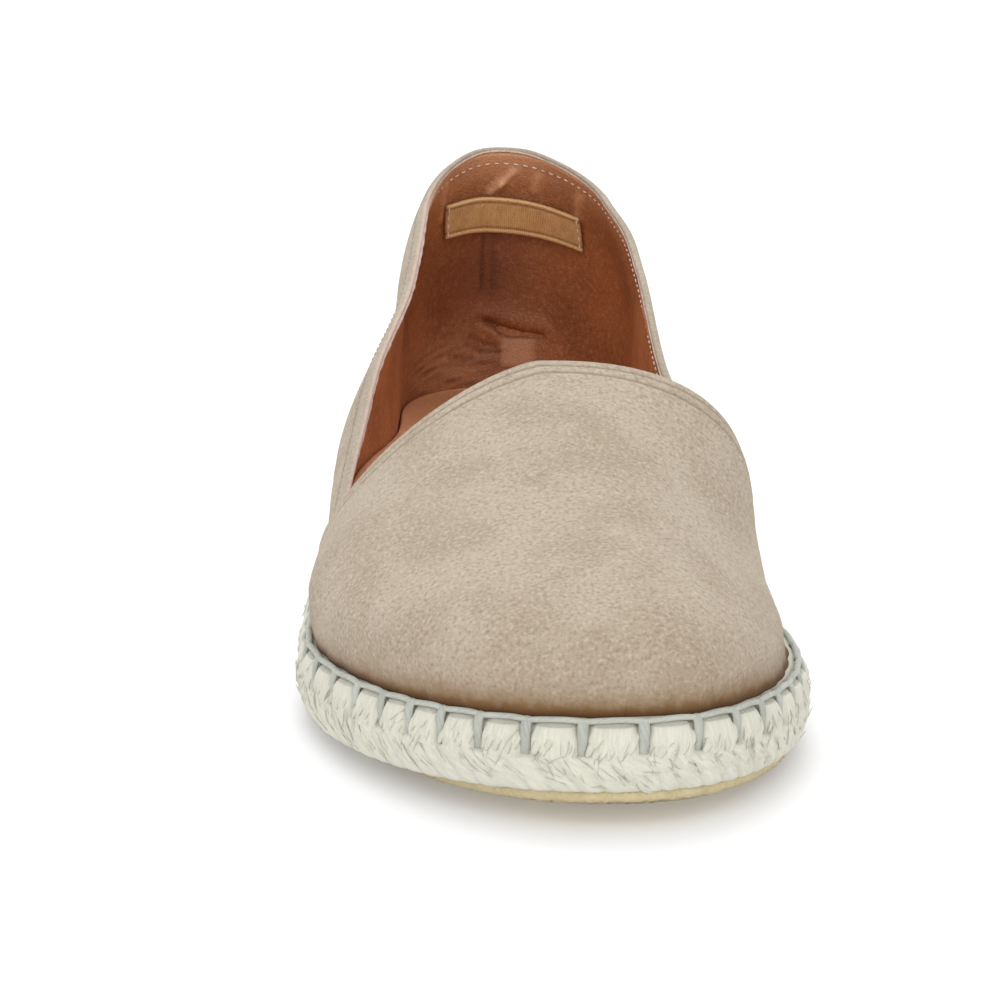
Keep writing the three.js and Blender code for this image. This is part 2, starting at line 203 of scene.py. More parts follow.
# %% [markdown]
# ## The last
# The upper is a skin over the last. Each cross-section tucks in at the foot, is widest at
# its girth, and rises to the crown as part of a superellipse. Two readings are needed: one
# by the share of the way up the section, for panels that run over the instep, and one by
# height, for the quarters, which stop at the top line.

# %% Points on the last
def heel_lean(s, z):
    """How far a point of the upper leans towards the toe, by the heel's back line."""
    share = np.clip(1 - s / COUNTER_REACH, 0, 1) ** COUNTER_FADE
    return (read(BACK, "lean", z, by="z") - LEDGE) * share


def place(s, x, z):
    """Puts a section point in the frame."""
    y = LENGTH / 2 - s - heel_lean(s, z)
    return np.stack(np.broadcast_arrays(middle(s) + x, y, z), -1)


def section(s, side, offset):
    """Sizes of a cross-section on one side: foot, girth, crown and fullness."""
    def pick(name):
        return by_side(side, read(LAST, name + "_lat", s), read(LAST, name + "_med", s))

    foot = half_width(s, side, LEDGE + offset)
    toe = rounding(LENGTH - LEDGE - offset - s, TOE_CAP_RUN, TOE_CAP_POWER)
    girth_x = foot + pick("bulge") * np.minimum(foot / END_FADE, 1)
    crown_x = side * read(LAST, "crown_x", s) * np.minimum(foot / CROWN_FADE, 1)
    crown_z = (read(LAST, "crown", s) - offset) * toe
    return foot, girth_x, pick("girth") * toe, crown_x, crown_z, pick("full")


def over(s, v, offset=0.0):
    """Point of the skin, v from -1 at the lateral foot over the crown to 1 at the medial."""
    s, v = np.broadcast_arrays(np.asarray(s, float), np.asarray(v, float))
    side = by_side(v, -1.0, 1.0)
    foot, girth_x, girth_z, crown_x, crown_z, full = section(s, side, offset)
    up = 1 - np.abs(v)
    low = np.clip(1 - up / TUCK_SHARE, 0, 1) * np.pi / 2
    high = np.clip((up - TUCK_SHARE) / (1 - TUCK_SHARE), 0, 1) * np.pi / 2
    tucked = up < TUCK_SHARE
    bend = np.maximum(np.cos(high), 0) ** (2 / full)
    rise = np.sin(high) ** (2 / full)
    low_x, high_x = foot + (girth_x - foot) * np.cos(low), crown_x + (girth_x - crown_x) * bend
    low_z, high_z = girth_z * (1 - np.sin(low)), girth_z + (crown_z - girth_z) * rise
    z = deck(s) + GAP + np.where(tucked, low_z, high_z)
    return place(s, side * np.where(tucked, low_x, high_x), z)


def wall(s, z, side, offset=0.0):
    """Point of the skin at a height z over the floor, on one side."""
    foot, girth_x, girth_z, crown_x, crown_z, full = section(s, side, offset)
    rise = z - deck(s) - GAP
    low = np.clip(1 - rise / np.maximum(girth_z, 0.01), 0, 1)
    high = np.clip((rise - girth_z) / np.maximum(crown_z - girth_z, 0.01), 0, 1)
    tucked = foot + (girth_x - foot) * np.sqrt(1 - low**2)
    domed = crown_x + (girth_x - crown_x) * (1 - high**full) ** (1 / full)
    return place(s, side * np.where(rise < girth_z, tucked, domed), z)


def top_height(s, drop=0.0):
    """Height of the top line over station s, allowing for the lean of the heel."""
    z = np.full_like(np.asarray(s, float), FIRST_TOP)
    for _ in range(SETTLE_STEPS):
        z = read(TOPLINE, "z", s + heel_lean(s, z)) - drop
    return z


def edge_station(v, offset=0.0):
    """Station of the vamp's back edge: throat over the instep, side seam below it."""
    s = np.full_like(np.asarray(v, float), FIRST_EDGE)
    for _ in range(SETTLE_STEPS):
        s = read(EDGE, "s", over(s, v, offset)[..., 2], by="z")
    return s


crown_edge = over(edge_station(np.array([0.0])), np.array([0.0]))[0]
print("instep edge at y", round(crown_edge[1], 1), "z", round(crown_edge[2], 1))

# %% [markdown]
# ## Making meshes
# Most pieces are sheets with a thickness: two grids of points, one for each face, joined
# round their border. The grid comes from a rule for the surface, so this is quicker and
# more exact than pushing points by hand, and each piece comes out closed. Measurements
# travel with the mesh as named marks, which the materials read later.

# %% Helpers that make meshes
PIECES = []
MERGE = 0.002
WAVE_COUNT, WAVE_SPAN = 6, 4


def grid_faces(rows, cols, start=0, loop=False):
    """Quads of a grid of points; a loop joins the last column to the first."""
    i = np.arange(rows - 1)[:, None]
    j = np.arange(cols if loop else cols - 1)[None, :]
    a = start + i * cols + j
    b = start + i * cols + (j + 1) % cols
    return np.stack([a, b, b + cols, a + cols], -1).reshape(-1, 4)


def shell(outer, inner):
    """Closed wall between two grids of the same size."""
    rows, cols = outer.shape[:2]
    count = rows * cols
    ids = np.arange(count).reshape(rows, cols)
    ring = np.concatenate([ids[0, :-1], ids[:-1, -1], ids[-1, :0:-1], ids[:0:-1, 0]])
    after = np.roll(ring, -1)
    rim = np.stack([ring, ring + count, after + count, after], -1)
    back = grid_faces(rows, cols, count)[:, ::-1]
    points = np.concatenate([outer.reshape(-1, 3), inner.reshape(-1, 3)])
    return points, np.concatenate([grid_faces(rows, cols), back, rim])


def volume(points, faces):
    """Volume inside the faces, below 0 when they point inwards."""
    a, b, c, d = (points[faces[:, k]] for k in range(4))
    return np.sum(np.cross(b, c) * a + np.cross(c, d) * a) / 6


def mesh_from(name, points, faces, uv=None, marks=None):
    """Closed mesh from points in millimetres, turned to face outwards, poles merged."""
    if volume(points, faces) < 0:
        faces = faces[:, ::-1]
    mesh = bpy.data.meshes.new(name)
    mesh.from_pydata((points * MM).tolist(), [], faces.tolist())
    if uv is not None:
        order = np.empty(len(mesh.loops), np.int32)
        mesh.loops.foreach_get("vertex_index", order)
        layer = mesh.uv_layers.new(name="UVMap")
        layer.data.foreach_set("uv", uv[order].astype(np.float32).ravel())
    for mark, values in (marks or {}).items():
        column = mesh.attributes.new(mark, "FLOAT", "POINT")
        column.data.foreach_set("value", np.asarray(values, np.float32).ravel())
    build = bmesh.new()
    build.from_mesh(mesh)
    bmesh.ops.remove_doubles(build, verts=build.verts, dist=MERGE * MM)
    build.to_mesh(mesh)
    build.free()
    mesh.shade_smooth()
    return mesh


def add_piece(name, mesh, node, slot, material):
    """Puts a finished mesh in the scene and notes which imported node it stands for."""
    mesh.name = name
    mesh.materials.clear()
    mesh.materials.append(material)
    piece = bpy.data.objects.new(name, mesh)
    scene.collection.objects.link(piece)
    PIECES.append((piece, node, slot))
    mesh.calc_loop_triangles()
    size = [round(side / MM, 1) for side in piece.dimensions]
    print(f"{name}: {len(mesh.loop_triangles)} triangles, {size} mm")


def unit(vectors):
    """The same directions, one unit long."""
    return vectors / np.maximum(np.linalg.norm(vectors, axis=-1, keepdims=True), 1e-9)


def normals(grid):
    """Unit normal at every point of a grid."""
    return unit(np.cross(np.gradient(grid, axis=0), np.gradient(grid, axis=1)))


def lengths(path):
    """Distance along a path from its first point."""
    steps = np.linalg.norm(np.diff(path, axis=0), axis=-1)
    return np.concatenate([[0], np.cumsum(steps)])


def at_length(path, where):
    """Values of a path, given as its distances and its values, at other distances."""
    along, values = path
    return np.stack([np.interp(where, along, values[:, k]) for k in range(values.shape[1])], -1)


def waves(points, size, seed):
    """Soft unevenness, mostly between -1 and 1, with bumps of about the given size."""
    pick = np.random.default_rng(seed)
    total = np.zeros(points.shape[:-1])
    for _ in range(WAVE_COUNT):
        way = unit(pick.normal(size=3)) * 2 * np.pi / (size * pick.uniform(0.8, 2.0))
        total += np.sin(points @ way + pick.uniform(0, 6.3))
    return total / WAVE_SPAN


def dip(distance, width):
    """Cross-section of a soft trough or ridge."""
    return np.exp(-((distance / width) ** 2))


# %% Sweeping a section along a path
def sweep(path, out, width, height, sides=8, closed=True):
    """Tube along a path: width goes across the path, height along the out direction."""
    ahead = np.roll(path, -1, 0) - np.roll(path, 1, 0) if closed else np.gradient(path, axis=0)
    aim = unit(ahead)
    across = unit(np.cross(out, aim))
    up = np.cross(aim, across)
    turn = np.linspace(0, 2 * np.pi, sides + 1)
    wide = np.broadcast_to(width, len(path))[:, None, None] / 2
    high = np.broadcast_to(height, len(path))[:, None, None] / 2
    ring = across[:, None] * wide * np.cos(turn)[None, :, None]
    points = path[:, None] + ring + up[:, None] * high * np.sin(turn)[None, :, None]
    if closed:
        points = np.concatenate([points, points[:1]])
    else:
        ends = np.repeat(path[[0, -1]][:, None], sides + 1, axis=1)
        points = np.concatenate([ends[:1], points, ends[1:]])
    run = lengths(points.mean(1))
    uv = np.stack(np.meshgrid(run, turn / (2 * np.pi), indexing="ij"), -1)
    return points.reshape(-1, 3), grid_faces(*points.shape[:2]), uv.reshape(-1, 2)

# %% [markdown]
# ## Rows of equal things
# Stitches, strands of jute and loose fibres are the same small shape again and again, each
# set at its own place on the shoe. One Geometry Nodes tree makes all such rows: it puts a
# copy on every point, turns it out of the surface and along the row, and varies its size
# and turn a little from a fixed seed. Joining copies by hand would give the same result,
# but in nodes the sizes stay named inputs that are easy to change.

# %% The row tree
def add(tree, kind, **values):
    """Adds a node; a value sets the node's own setting or the input of that name."""
    node = tree.nodes.new(kind)
    for key, value in values.items():
        if hasattr(node, key):
            setattr(node, key, value)
            continue
        socket = node.inputs[key.replace("_", " ")]
        if isinstance(value, bpy.types.NodeSocket):
            tree.links.new(value, socket)
        else:
            socket.default_value = value
    return node


def maths(tree, operation, *values):
    """Adds a Math node and gives its result."""
    node = tree.nodes.new("ShaderNodeMath")
    node.operation = operation
    for socket, value in zip(node.inputs, values):
        if isinstance(value, bpy.types.NodeSocket):
            tree.links.new(value, socket)
        else:
            socket.default_value = value
    return node.outputs[0]


def chance(tree, low, high, seed, shift):
    """Random number for each point, from the row's seed."""
    node = add(tree, "FunctionNodeRandomValue", data_type="FLOAT")
    node.inputs[2].default_value = low
    node.inputs[3].default_value = high
    tree.links.new(maths(tree, "ADD", seed, shift), node.inputs["Seed"])
    return node.outputs[1]


def row_tree():
    """Builds the tree that sets one item on every point of a row."""
    tree = bpy.data.node_groups.new("row_of_copies", "GeometryNodeTree")
    face = tree.interface

    def entry(name, kind, value=None):
        socket = face.new_socket(name, in_out="INPUT", socket_type=kind)
        if value is not None:
            socket.default_value = value

    entry("Geometry", "NodeSocketGeometry")
    entry("Item", "NodeSocketObject")
    entry("Length", "NodeSocketFloat", 1.0)
    entry("Width", "NodeSocketFloat", 1.0)
    entry("Height", "NodeSocketFloat", 1.0)
    entry("Lean", "NodeSocketFloat", 0.0)
    entry("Turn Jitter", "NodeSocketFloat", 0.0)
    entry("Size Jitter", "NodeSocketFloat", 0.0)
    entry("Seed", "NodeSocketInt", 1)
    entry("Finish", "NodeSocketMaterial")
    face.new_socket("Geometry", in_out="OUTPUT", socket_type="NodeSocketGeometry")

    given = tree.nodes.new("NodeGroupInput").outputs
    outward = add(tree, "GeometryNodeInputNamedAttribute", data_type="FLOAT_VECTOR", Name="out")
    along = add(tree, "GeometryNodeInputNamedAttribute", data_type="FLOAT_VECTOR", Name="aim")
    grow = add(tree, "GeometryNodeInputNamedAttribute", data_type="FLOAT", Name="grow")
    lean = add(tree, "GeometryNodeInputNamedAttribute", data_type="FLOAT", Name="lean")
    stand = add(
        tree, "FunctionNodeAlignRotationToVector", axis="Z", Vector=outward.outputs[0]
    )
    facing = add(
        tree, "FunctionNodeAlignRotationToVector", axis="X", pivot_axis="Z",
        Rotation=stand.outputs[0], Vector=along.outputs[0],
    )
    swing = maths(tree, "MULTIPLY", chance(tree, -1, 1, given["Seed"], 0), given["Turn Jitter"])
    swing = maths(tree, "ADD", maths(tree, "ADD", given["Lean"], lean.outputs[0]), swing)
    angles = add(tree, "ShaderNodeCombineXYZ", Z=swing)
    turn = add(tree, "FunctionNodeEulerToRotation", Euler=angles.outputs[0])
    turned = add(
        tree, "FunctionNodeRotateRotation", rotation_space="LOCAL",
        Rotation=facing.outputs[0], Rotate_By=turn.outputs[0],
    )
    change = maths(tree, "MULTIPLY", chance(tree, -1, 1, given["Seed"], 7), given["Size Jitter"])
    size = maths(tree, "MULTIPLY", maths(tree, "ADD", change, 1.0), grow.outputs[0])
    plain = add(
        tree, "ShaderNodeCombineXYZ", X=given["Length"], Y=given["Width"], Z=given["Height"]
    )
    scale = add(tree, "ShaderNodeVectorMath", operation="SCALE", Scale=size)
    tree.links.new(plain.outputs[0], scale.inputs[0])
    item = add(tree, "GeometryNodeObjectInfo", transform_space="ORIGINAL", Object=given["Item"])
    copies = add(
        tree, "GeometryNodeInstanceOnPoints", Points=given["Geometry"],
        Instance=item.outputs["Geometry"], Rotation=turned.outputs[0], Scale=scale.outputs[0],
    )
    tinted = add(
        tree, "GeometryNodeStoreNamedAttribute", data_type="FLOAT", domain="INSTANCE",
        Geometry=copies.outputs[0], Name="tint", Value=chance(tree, 0, 1, given["Seed"], 13),
    )
    real = add(tree, "GeometryNodeRealizeInstances", Geometry=tinted.outputs[0])
    dressed = add(
        tree, "GeometryNodeSetMaterial", Geometry=real.outputs[0], Material=given["Finish"]
    )
    leave = tree.nodes.new("NodeGroupOutput")
    tree.links.new(dressed.outputs[0], leave.inputs[0])
    return tree


ROW_TREE = row_tree()
print("the row tree has", len(ROW_TREE.nodes), "nodes")


# %% Using the row tree
def item_mesh(name, points, faces, uv):
    """A shape to repeat, one unit long, kept out of the scene."""
    mesh = mesh_from(name, points / MM, faces, uv)
    return bpy.data.objects.new(name, mesh)


def row_mesh(name, item, row_at, material, sizes, grow=1.0, lean=0.0, **inputs):
    """Copies an item to every place of a row and gives the result as one plain mesh."""
    places, aim, out = row_at
    points = bpy.data.meshes.new(name + "_points")
    points.from_pydata((places * MM).tolist(), [], [])
    for mark, kind, values in (
        ("aim", "FLOAT_VECTOR", aim), ("out", "FLOAT_VECTOR", out),
        ("grow", "FLOAT", np.broadcast_to(grow, len(places))),
        ("lean", "FLOAT", np.broadcast_to(lean, len(places))),
    ):
        column = points.attributes.new(mark, kind, "POINT")
        field = "vector" if kind == "FLOAT_VECTOR" else "value"
        column.data.foreach_set(field, np.asarray(values, np.float32).ravel())
    row = bpy.data.objects.new(name, points)
    scene.collection.objects.link(row)
    scene.collection.objects.link(item)
    nodes = row.modifiers.new("row", "NODES")
    nodes.node_group = ROW_TREE
    named = {s.name: s.identifier for s in ROW_TREE.interface.items_tree if s.in_out == "INPUT"}
    length, width, height = (side * MM for side in sizes)
    inputs |= {"Item": item, "Length": length, "Width": width, "Height": height}
    inputs |= {"Finish": material}
    for label, value in inputs.items():
        nodes[named[label.replace("_", " ")]] = value
    graph = bpy.context.evaluated_depsgraph_get()
    mesh = bpy.data.meshes.new_from_object(
        row.evaluated_get(graph), preserve_all_data_layers=True, depsgraph=graph
    )
    bpy.data.objects.remove(row)
    scene.collection.objects.unlink(item)
    for mark in ("aim", "out", "grow", "lean"):
        if mark in mesh.attributes:
            mesh.attributes.remove(mesh.attributes[mark])
    return mesh


def add_row(name, item, row_at, node, material, sizes, **inputs):
    """Adds a row of copies as one piece, in the node's own slot."""
    mesh = row_mesh(name, item, row_at, material, sizes, **inputs)
    add_piece(name, mesh, node, node, material)


def bead(name, rings, sides, arch=0.0, point=0.5, bow=0.0):
    """Short length of thread, one unit in each size, with its ends turned down."""
    x = -np.cos(np.linspace(0, np.pi, rings)) / 2
    thick = np.maximum(1 - (2 * x) ** 2, 0) ** point
    middle_line = np.stack([x, bow * np.sin(2 * np.pi * x), -arch * (2 * x) ** 2], -1)
    turn = np.linspace(0, 2 * np.pi, sides + 1)
    ring = np.stack([np.zeros_like(turn), np.cos(turn) / 2, np.sin(turn) / 2], -1)
    points = middle_line[:, None] + ring[None] * thick[:, None, None]
    uv = np.stack(np.meshgrid(x + 0.5, turn / (2 * np.pi), indexing="ij"), -1)
    return item_mesh(name, points.reshape(-1, 3), grid_faces(rings, sides + 1), uv.reshape(-1, 2))

# %% [markdown]
# ## Finishes
# Suede, leather, jute, thread and crepe have one thing in common: their colour is never
# even. A shader group gives each material patches and flecks at sizes set in millimetres,
# and other shared groups give leather its grain, yarn its fibres, the foot of the upper its
# soil and painted shade, and the crepe a darker lower edge. Marks on the meshes also paint
# shade into grooves, creases and valleys, and highlights onto the lining's ridges. The groups
# are built once and placed in each material with their own values. All of them read the
# object's own coordinates or the piece's own lengthwise map, so a pattern stays on its piece.

# %% Small helpers for shaders
def paint(red, green, blue):
    """Colour from 0-255 display values."""
    def linear(v):
        v /= 255
        return v / 12.92 if v <= 0.04045 else ((v + 0.055) / 1.055) ** 2.4

    return (linear(red), linear(green), linear(blue), 1.0)


def blend_colours(tree, share, first, second):
    """Mix of two colours by a share; each of the three may be a value or a socket."""
    node = tree.nodes.new("ShaderNodeMix")
    node.data_type = "RGBA"
    for socket, value in zip((node.inputs[0], node.inputs[6], node.inputs[7]),
                             (share, first, second)):
        if isinstance(value, bpy.types.NodeSocket):
            tree.links.new(value, socket)
        else:
            socket.default_value = value
    return node.outputs[2]


def spread(tree, value, low, high):
    """Stretches the part of a value between low and high to 0-1, softly."""
    node = add(tree, "ShaderNodeMapRange", interpolation_type="SMOOTHSTEP", Value=value)
    node.inputs["From Min"].default_value = low
    node.inputs["From Max"].default_value = high
    return node.outputs[0]


def new_group(name, inputs, outputs):
    """Shader group with named sockets; gives the tree, its inputs and its output node."""
    tree = bpy.data.node_groups.new(name, "ShaderNodeTree")
    for label, kind, value in inputs:
        socket = tree.interface.new_socket(label, in_out="INPUT", socket_type="NodeSocket" + kind)
        if value is not None:
            socket.default_value = value
    for label, kind in outputs:
        tree.interface.new_socket(label, in_out="OUTPUT", socket_type="NodeSocket" + kind)
    return tree, tree.nodes.new("NodeGroupInput").outputs, tree.nodes.new("NodeGroupOutput")


def noise(tree, vector, size, detail, rough=0.5):
    """Noise whose bumps are about the given size in millimetres."""
    scale = maths(tree, "DIVIDE", 1.0, size)
    node = add(
        tree, "ShaderNodeTexNoise", Vector=vector, Scale=scale, Detail=detail, Roughness=rough
    )
    return node.outputs["Fac"]


# %% Shared effect: patches and flecks of colour
def patchy_colour():
    """Broad dark patches, and small pale and dark flecks over them."""
    tree, given, leave = new_group(
        "patchy_colour",
        [("Vector", "Vector", None), ("Base", "Color", (0.5, 0.5, 0.5, 1)),
         ("Pale", "Color", (0.8, 0.8, 0.8, 1)), ("Dark", "Color", (0.2, 0.2, 0.2, 1)),
         ("Patch Size", "Float", 12.0), ("Patch Share", "Float", 0.5),
         ("Fleck Size", "Float", 0.5), ("Fleck Share", "Float", 0.5)],
        [("Color", "Color"), ("Fleck", "Float")],
    )
    patch = spread(tree, noise(tree, given["Vector"], given["Patch Size"], 3.0), 0.35, 0.65)
    fleck = noise(tree, given["Vector"], given["Fleck Size"], 3.0, 0.6)
    pale = spread(tree, fleck, 0.5, 0.72)
    dark = maths(tree, "SUBTRACT", 1.0, spread(tree, fleck, 0.28, 0.5))
    colour = blend_colours(
        tree, maths(tree, "MULTIPLY", patch, given["Patch Share"]), given["Base"], given["Dark"]
    )
    colour = blend_colours(
        tree, maths(tree, "MULTIPLY", pale, given["Fleck Share"]), colour, given["Pale"]
    )
    colour = blend_colours(
        tree, maths(tree, "MULTIPLY", dark, given["Fleck Share"]), colour, given["Dark"]
    )
    tree.links.new(colour, leave.inputs["Color"])
    tree.links.new(fleck, leave.inputs["Fleck"])
    return tree


PATCHY = patchy_colour()


# %% Shared effect: leather grain
def leather_grain():
    """Small cells with furrows between them, and finer pores."""
    tree, given, leave = new_group(
        "leather_grain",
        [("Vector", "Vector", None), ("Cell Size", "Float", 0.8)],
        [("Height", "Float"), ("Furrow", "Float")],
    )
    cells = add(
        tree, "ShaderNodeTexVoronoi", feature="DISTANCE_TO_EDGE", Vector=given["Vector"],
        Scale=maths(tree, "DIVIDE", 1.0, given["Cell Size"]),
    )
    edge = spread(tree, cells.outputs["Distance"], 0.0, 0.22)
    pores = noise(tree, given["Vector"], maths(tree, "MULTIPLY", given["Cell Size"], 0.4), 3.0)
    tree.links.new(maths(tree, "MULTIPLY_ADD", pores, 0.5, edge), leave.inputs["Height"])
    tree.links.new(maths(tree, "SUBTRACT", 1.0, edge), leave.inputs["Furrow"])
    return tree


GRAIN = leather_grain()


# %% Shared effect: fibres that run along a yarn
TINT_SHIFT = 57.0


def yarn_fibres():
    """Noise drawn out along the yarn and wound round it; each copy's tint shifts it."""
    tree, given, leave = new_group(
        "yarn_fibres",
        [("Lengthwise", "Vector", None), ("Tint", "Float", 0.5), ("Along", "Float", 2.0),
         ("Around", "Float", 12.0), ("Twist", "Float", 1.0)],
        [("Height", "Float"), ("Streak", "Float")],
    )
    parts = add(tree, "ShaderNodeSeparateXYZ", Vector=given["Lengthwise"])
    run = maths(tree, "MULTIPLY", parts.outputs[0], given["Along"])
    lean = maths(tree, "MULTIPLY_ADD", parts.outputs[0], given["Twist"], parts.outputs[1])
    strands = maths(tree, "MULTIPLY", lean, given["Around"])
    shift = maths(tree, "MULTIPLY", given["Tint"], TINT_SHIFT)
    place_on = add(tree, "ShaderNodeCombineXYZ", X=run, Y=strands, Z=shift)
    fine = add(tree, "ShaderNodeTexNoise", Vector=place_on.outputs[0], Scale=1.0, Detail=3.0)
    tree.links.new(fine.outputs["Fac"], leave.inputs["Height"])
    tree.links.new(spread(tree, fine.outputs["Fac"], 0.38, 0.66), leave.inputs["Streak"])
    return tree


FIBRES = yarn_fibres()


# %% Shared effect: soil and shade in worn or hidden places
def soil_and_shade():
    """A second colour laid on by an amount, its edge broken up by noise."""
    tree, given, leave = new_group(
        "soil_and_shade",
        [("Vector", "Vector", None), ("Color", "Color", (0.5, 0.5, 0.5, 1)),
         ("Soil", "Color", (0.2, 0.15, 0.1, 1)), ("Amount", "Float", 0.5),
         ("Break Size", "Float", 3.0)],
        [("Color", "Color")],
    )
    speckle = noise(tree, given["Vector"], given["Break Size"], 4.0)
    broken = maths(tree, "MULTIPLY_ADD", speckle, 0.9, 0.55)
    mask = add(tree, "ShaderNodeClamp", Value=maths(tree, "MULTIPLY", broken, given["Amount"]))
    colour = blend_colours(tree, mask.outputs[0], given["Color"], given["Soil"])
    tree.links.new(colour, leave.inputs["Color"])
    return tree


SOIL_AND_SHADE = soil_and_shade()
print("shared effects:", ", ".join(group.name for group in (PATCHY, GRAIN, FIBRES, SOIL_AND_SHADE)))


# %% Starting and ending a material
def use(tree, group, **values):
    """Places a shared effect in a material with its own values."""
    node = tree.nodes.new("ShaderNodeGroup")
    node.node_tree = group
    for key, value in values.items():
        socket = node.inputs[key.replace("_", " ")]
        if isinstance(value, bpy.types.NodeSocket):
            tree.links.new(value, socket)
        else:
            socket.default_value = value
    return node.outputs


def start(name, rough, **sockets):
    """New material; gives its tree, its shader and the object's coordinates in mm."""
    material = bpy.data.materials.new(name)
    material.use_nodes = True
    tree = material.node_tree
    shader = tree.nodes["Principled BSDF"]
    shader.inputs["Roughness"].default_value = rough
    for key, value in sockets.items():
        shader.inputs[key.replace("_", " ")].default_value = value
    coordinates = tree.nodes.new("ShaderNodeTexCoord").outputs["Object"]
    in_mm = add(tree, "ShaderNodeVectorMath", operation="SCALE", Scale=1 / MM)
    tree.links.new(coordinates, in_mm.inputs[0])
    return material, tree, shader, in_mm.outputs[0]


def mark(tree, name):
    """Measurement that travels with the mesh."""
    return add(tree, "ShaderNodeAttribute", attribute_name=name).outputs["Fac"]


def relief(tree, shader, height, depth, strength):
    """Fine relief, its depth in millimetres."""
    bump = add(tree, "ShaderNodeBump", Height=height, Distance=depth * MM, Strength=strength)
    tree.links.new(bump.outputs[0], shader.inputs["Normal"])


# %% Suede
SUEDE = paint(180, 167, 149)


def suede_finish():
    material, tree, shader, at = start(
        "suede", 0.95, Sheen_Weight=0.06, Sheen_Roughness=0.5, Specular_IOR_Level=0.15
    )
    nap = use(
        tree, PATCHY, Vector=at, Base=SUEDE, Pale=paint(202, 190, 170), Dark=paint(142, 124, 102),
        Patch_Size=16.0, Patch_Share=0.32, Fleck_Size=0.75, Fleck_Share=0.68,
    )
    # Soil and painted shade at the foot of the upper, from the foot mark.
    foot = use(
        tree, SOIL_AND_SHADE, Vector=at, Color=nap["Color"], Soil=paint(126, 96, 62),
        Amount=mark(tree, "foot"), Break_Size=2.2,
    )
    # Painted shadow line in the seam with the sole.
    seam = blend_colours(tree, mark(tree, "seam"), foot["Color"], paint(88, 58, 32))
    rubbed = blend_colours(tree, mark(tree, "rim"), seam, paint(170, 160, 147))
    # Painted shade in the stitch grooves.
    groove = blend_colours(tree, mark(tree, "groove"), rubbed, paint(140, 122, 102))
    raw = blend_colours(tree, mark(tree, "raw_edge"), groove, paint(206, 180, 168))
    tree.links.new(raw, shader.inputs["Base Color"])
    fine = noise(tree, at, 0.28, 2.0)
    relief(tree, shader, maths(tree, "MULTIPLY_ADD", fine, 0.8, nap["Fleck"]), 0.24, 0.85)
    return material


suede = suede_finish()


# %% Lining leather and insole leather
def leather_finish(name, base, pale, dark, rough, cell):
    """Leather with its roughness and the size of its grain cells in mm."""
    material, tree, shader, at = start(name, rough, Specular_IOR_Level=0.4)
    hide = use(
        tree, PATCHY, Vector=at, Base=base, Pale=pale, Dark=dark,
        Patch_Size=13.0, Patch_Share=0.3, Fleck_Size=1.1, Fleck_Share=0.25,
    )
    grain = use(tree, GRAIN, Vector=at, Cell_Size=cell)
    furrows = blend_colours(
        tree, maths(tree, "MULTIPLY", grain["Furrow"], 0.16), hide["Color"], dark
    )
    # Lighter leather and painted highlights on ridges, from one mark.
    pale_and_highlight = blend_colours(tree, mark(tree, "pale_and_highlight"), furrows, pale)
    # Painted shade in folds and hollows, from the other mark.
    deep = blend_colours(tree, mark(tree, "painted_shade"), pale_and_highlight, dark)
    tree.links.new(deep, shader.inputs["Base Color"])
    gloss = maths(tree, "MULTIPLY_ADD", hide["Fleck"], 0.25, rough - 0.1)
    tree.links.new(gloss, shader.inputs["Roughness"])
    relief(tree, shader, maths(tree, "MULTIPLY_ADD", hide["Fleck"], 0.8, grain["Height"]),
           0.12, 0.55)
    return material


lining_leather = leather_finish(
    "lining_leather", paint(177, 111, 68), paint(224, 172, 132), paint(86, 40, 19), 0.48, 0.9
)
insole_leather = leather_finish(
    "insole_leather", paint(226, 164, 120), paint(238, 190, 150), paint(186, 126, 86), 0.6, 1.0
)


# %% Jute and thread
def yarn_finish(name, base, pale, dark, along, around, twist, depth):
    """Jute or thread: fibres per unit along and around, their twist, depth in mm."""
    material, tree, shader, at = start(
        name, 0.9, Sheen_Weight=0.1, Sheen_Roughness=0.5, Specular_IOR_Level=0.25
    )
    lengthwise = tree.nodes.new("ShaderNodeUVMap").outputs[0]
    fibres = use(
        tree, FIBRES, Lengthwise=lengthwise, Tint=mark(tree, "tint"),
        Along=along, Around=around, Twist=twist,
    )
    body = use(
        tree, PATCHY, Vector=at, Base=base, Pale=pale, Dark=dark,
        Patch_Size=7.0, Patch_Share=0.3, Fleck_Size=0.5, Fleck_Share=0.3,
    )
    streaks = blend_colours(
        tree, maths(tree, "MULTIPLY", fibres["Streak"], 0.6), body["Color"], pale
    )
    own = blend_colours(
        tree, maths(tree, "MULTIPLY", mark(tree, "tint"), 0.3), streaks, dark
    )
    # Painted shade in the valleys and on the hidden faces of the plait.
    valley = blend_colours(tree, mark(tree, "painted_shade"), own, dark)
    tree.links.new(valley, shader.inputs["Base Color"])
    relief(tree, shader, fibres["Height"], depth, 0.8)
    return material


jute = yarn_finish(
    "bleached_jute", paint(205, 203, 187), paint(217, 216, 204), paint(188, 186, 170),
    2.2, 11.0, 0.5, 0.22,
)
sole_thread = yarn_finish(
    "sole_thread", paint(181, 183, 173), paint(194, 196, 186), paint(138, 141, 133),
    0.5, 7.0, 0.35, 0.3,
)
fine_thread = yarn_finish(
    "fine_thread", paint(224, 204, 192), paint(238, 224, 214), paint(190, 164, 150),
    1.0, 5.0, 0.8, 0.1,
)
piping = yarn_finish(
    "piping", paint(204, 180, 168), paint(232, 216, 208), paint(160, 128, 112),
    1.6, 4.0, 0.6, 0.25,
)
suede_thread = yarn_finish(
    "suede_thread", paint(158, 142, 122), paint(176, 162, 142), paint(128, 110, 92),
    1.0, 5.0, 0.8, 0.1,
)


# %% Woven tape
WARP_PITCH, WEFT_PITCH = 0.42, 0.5


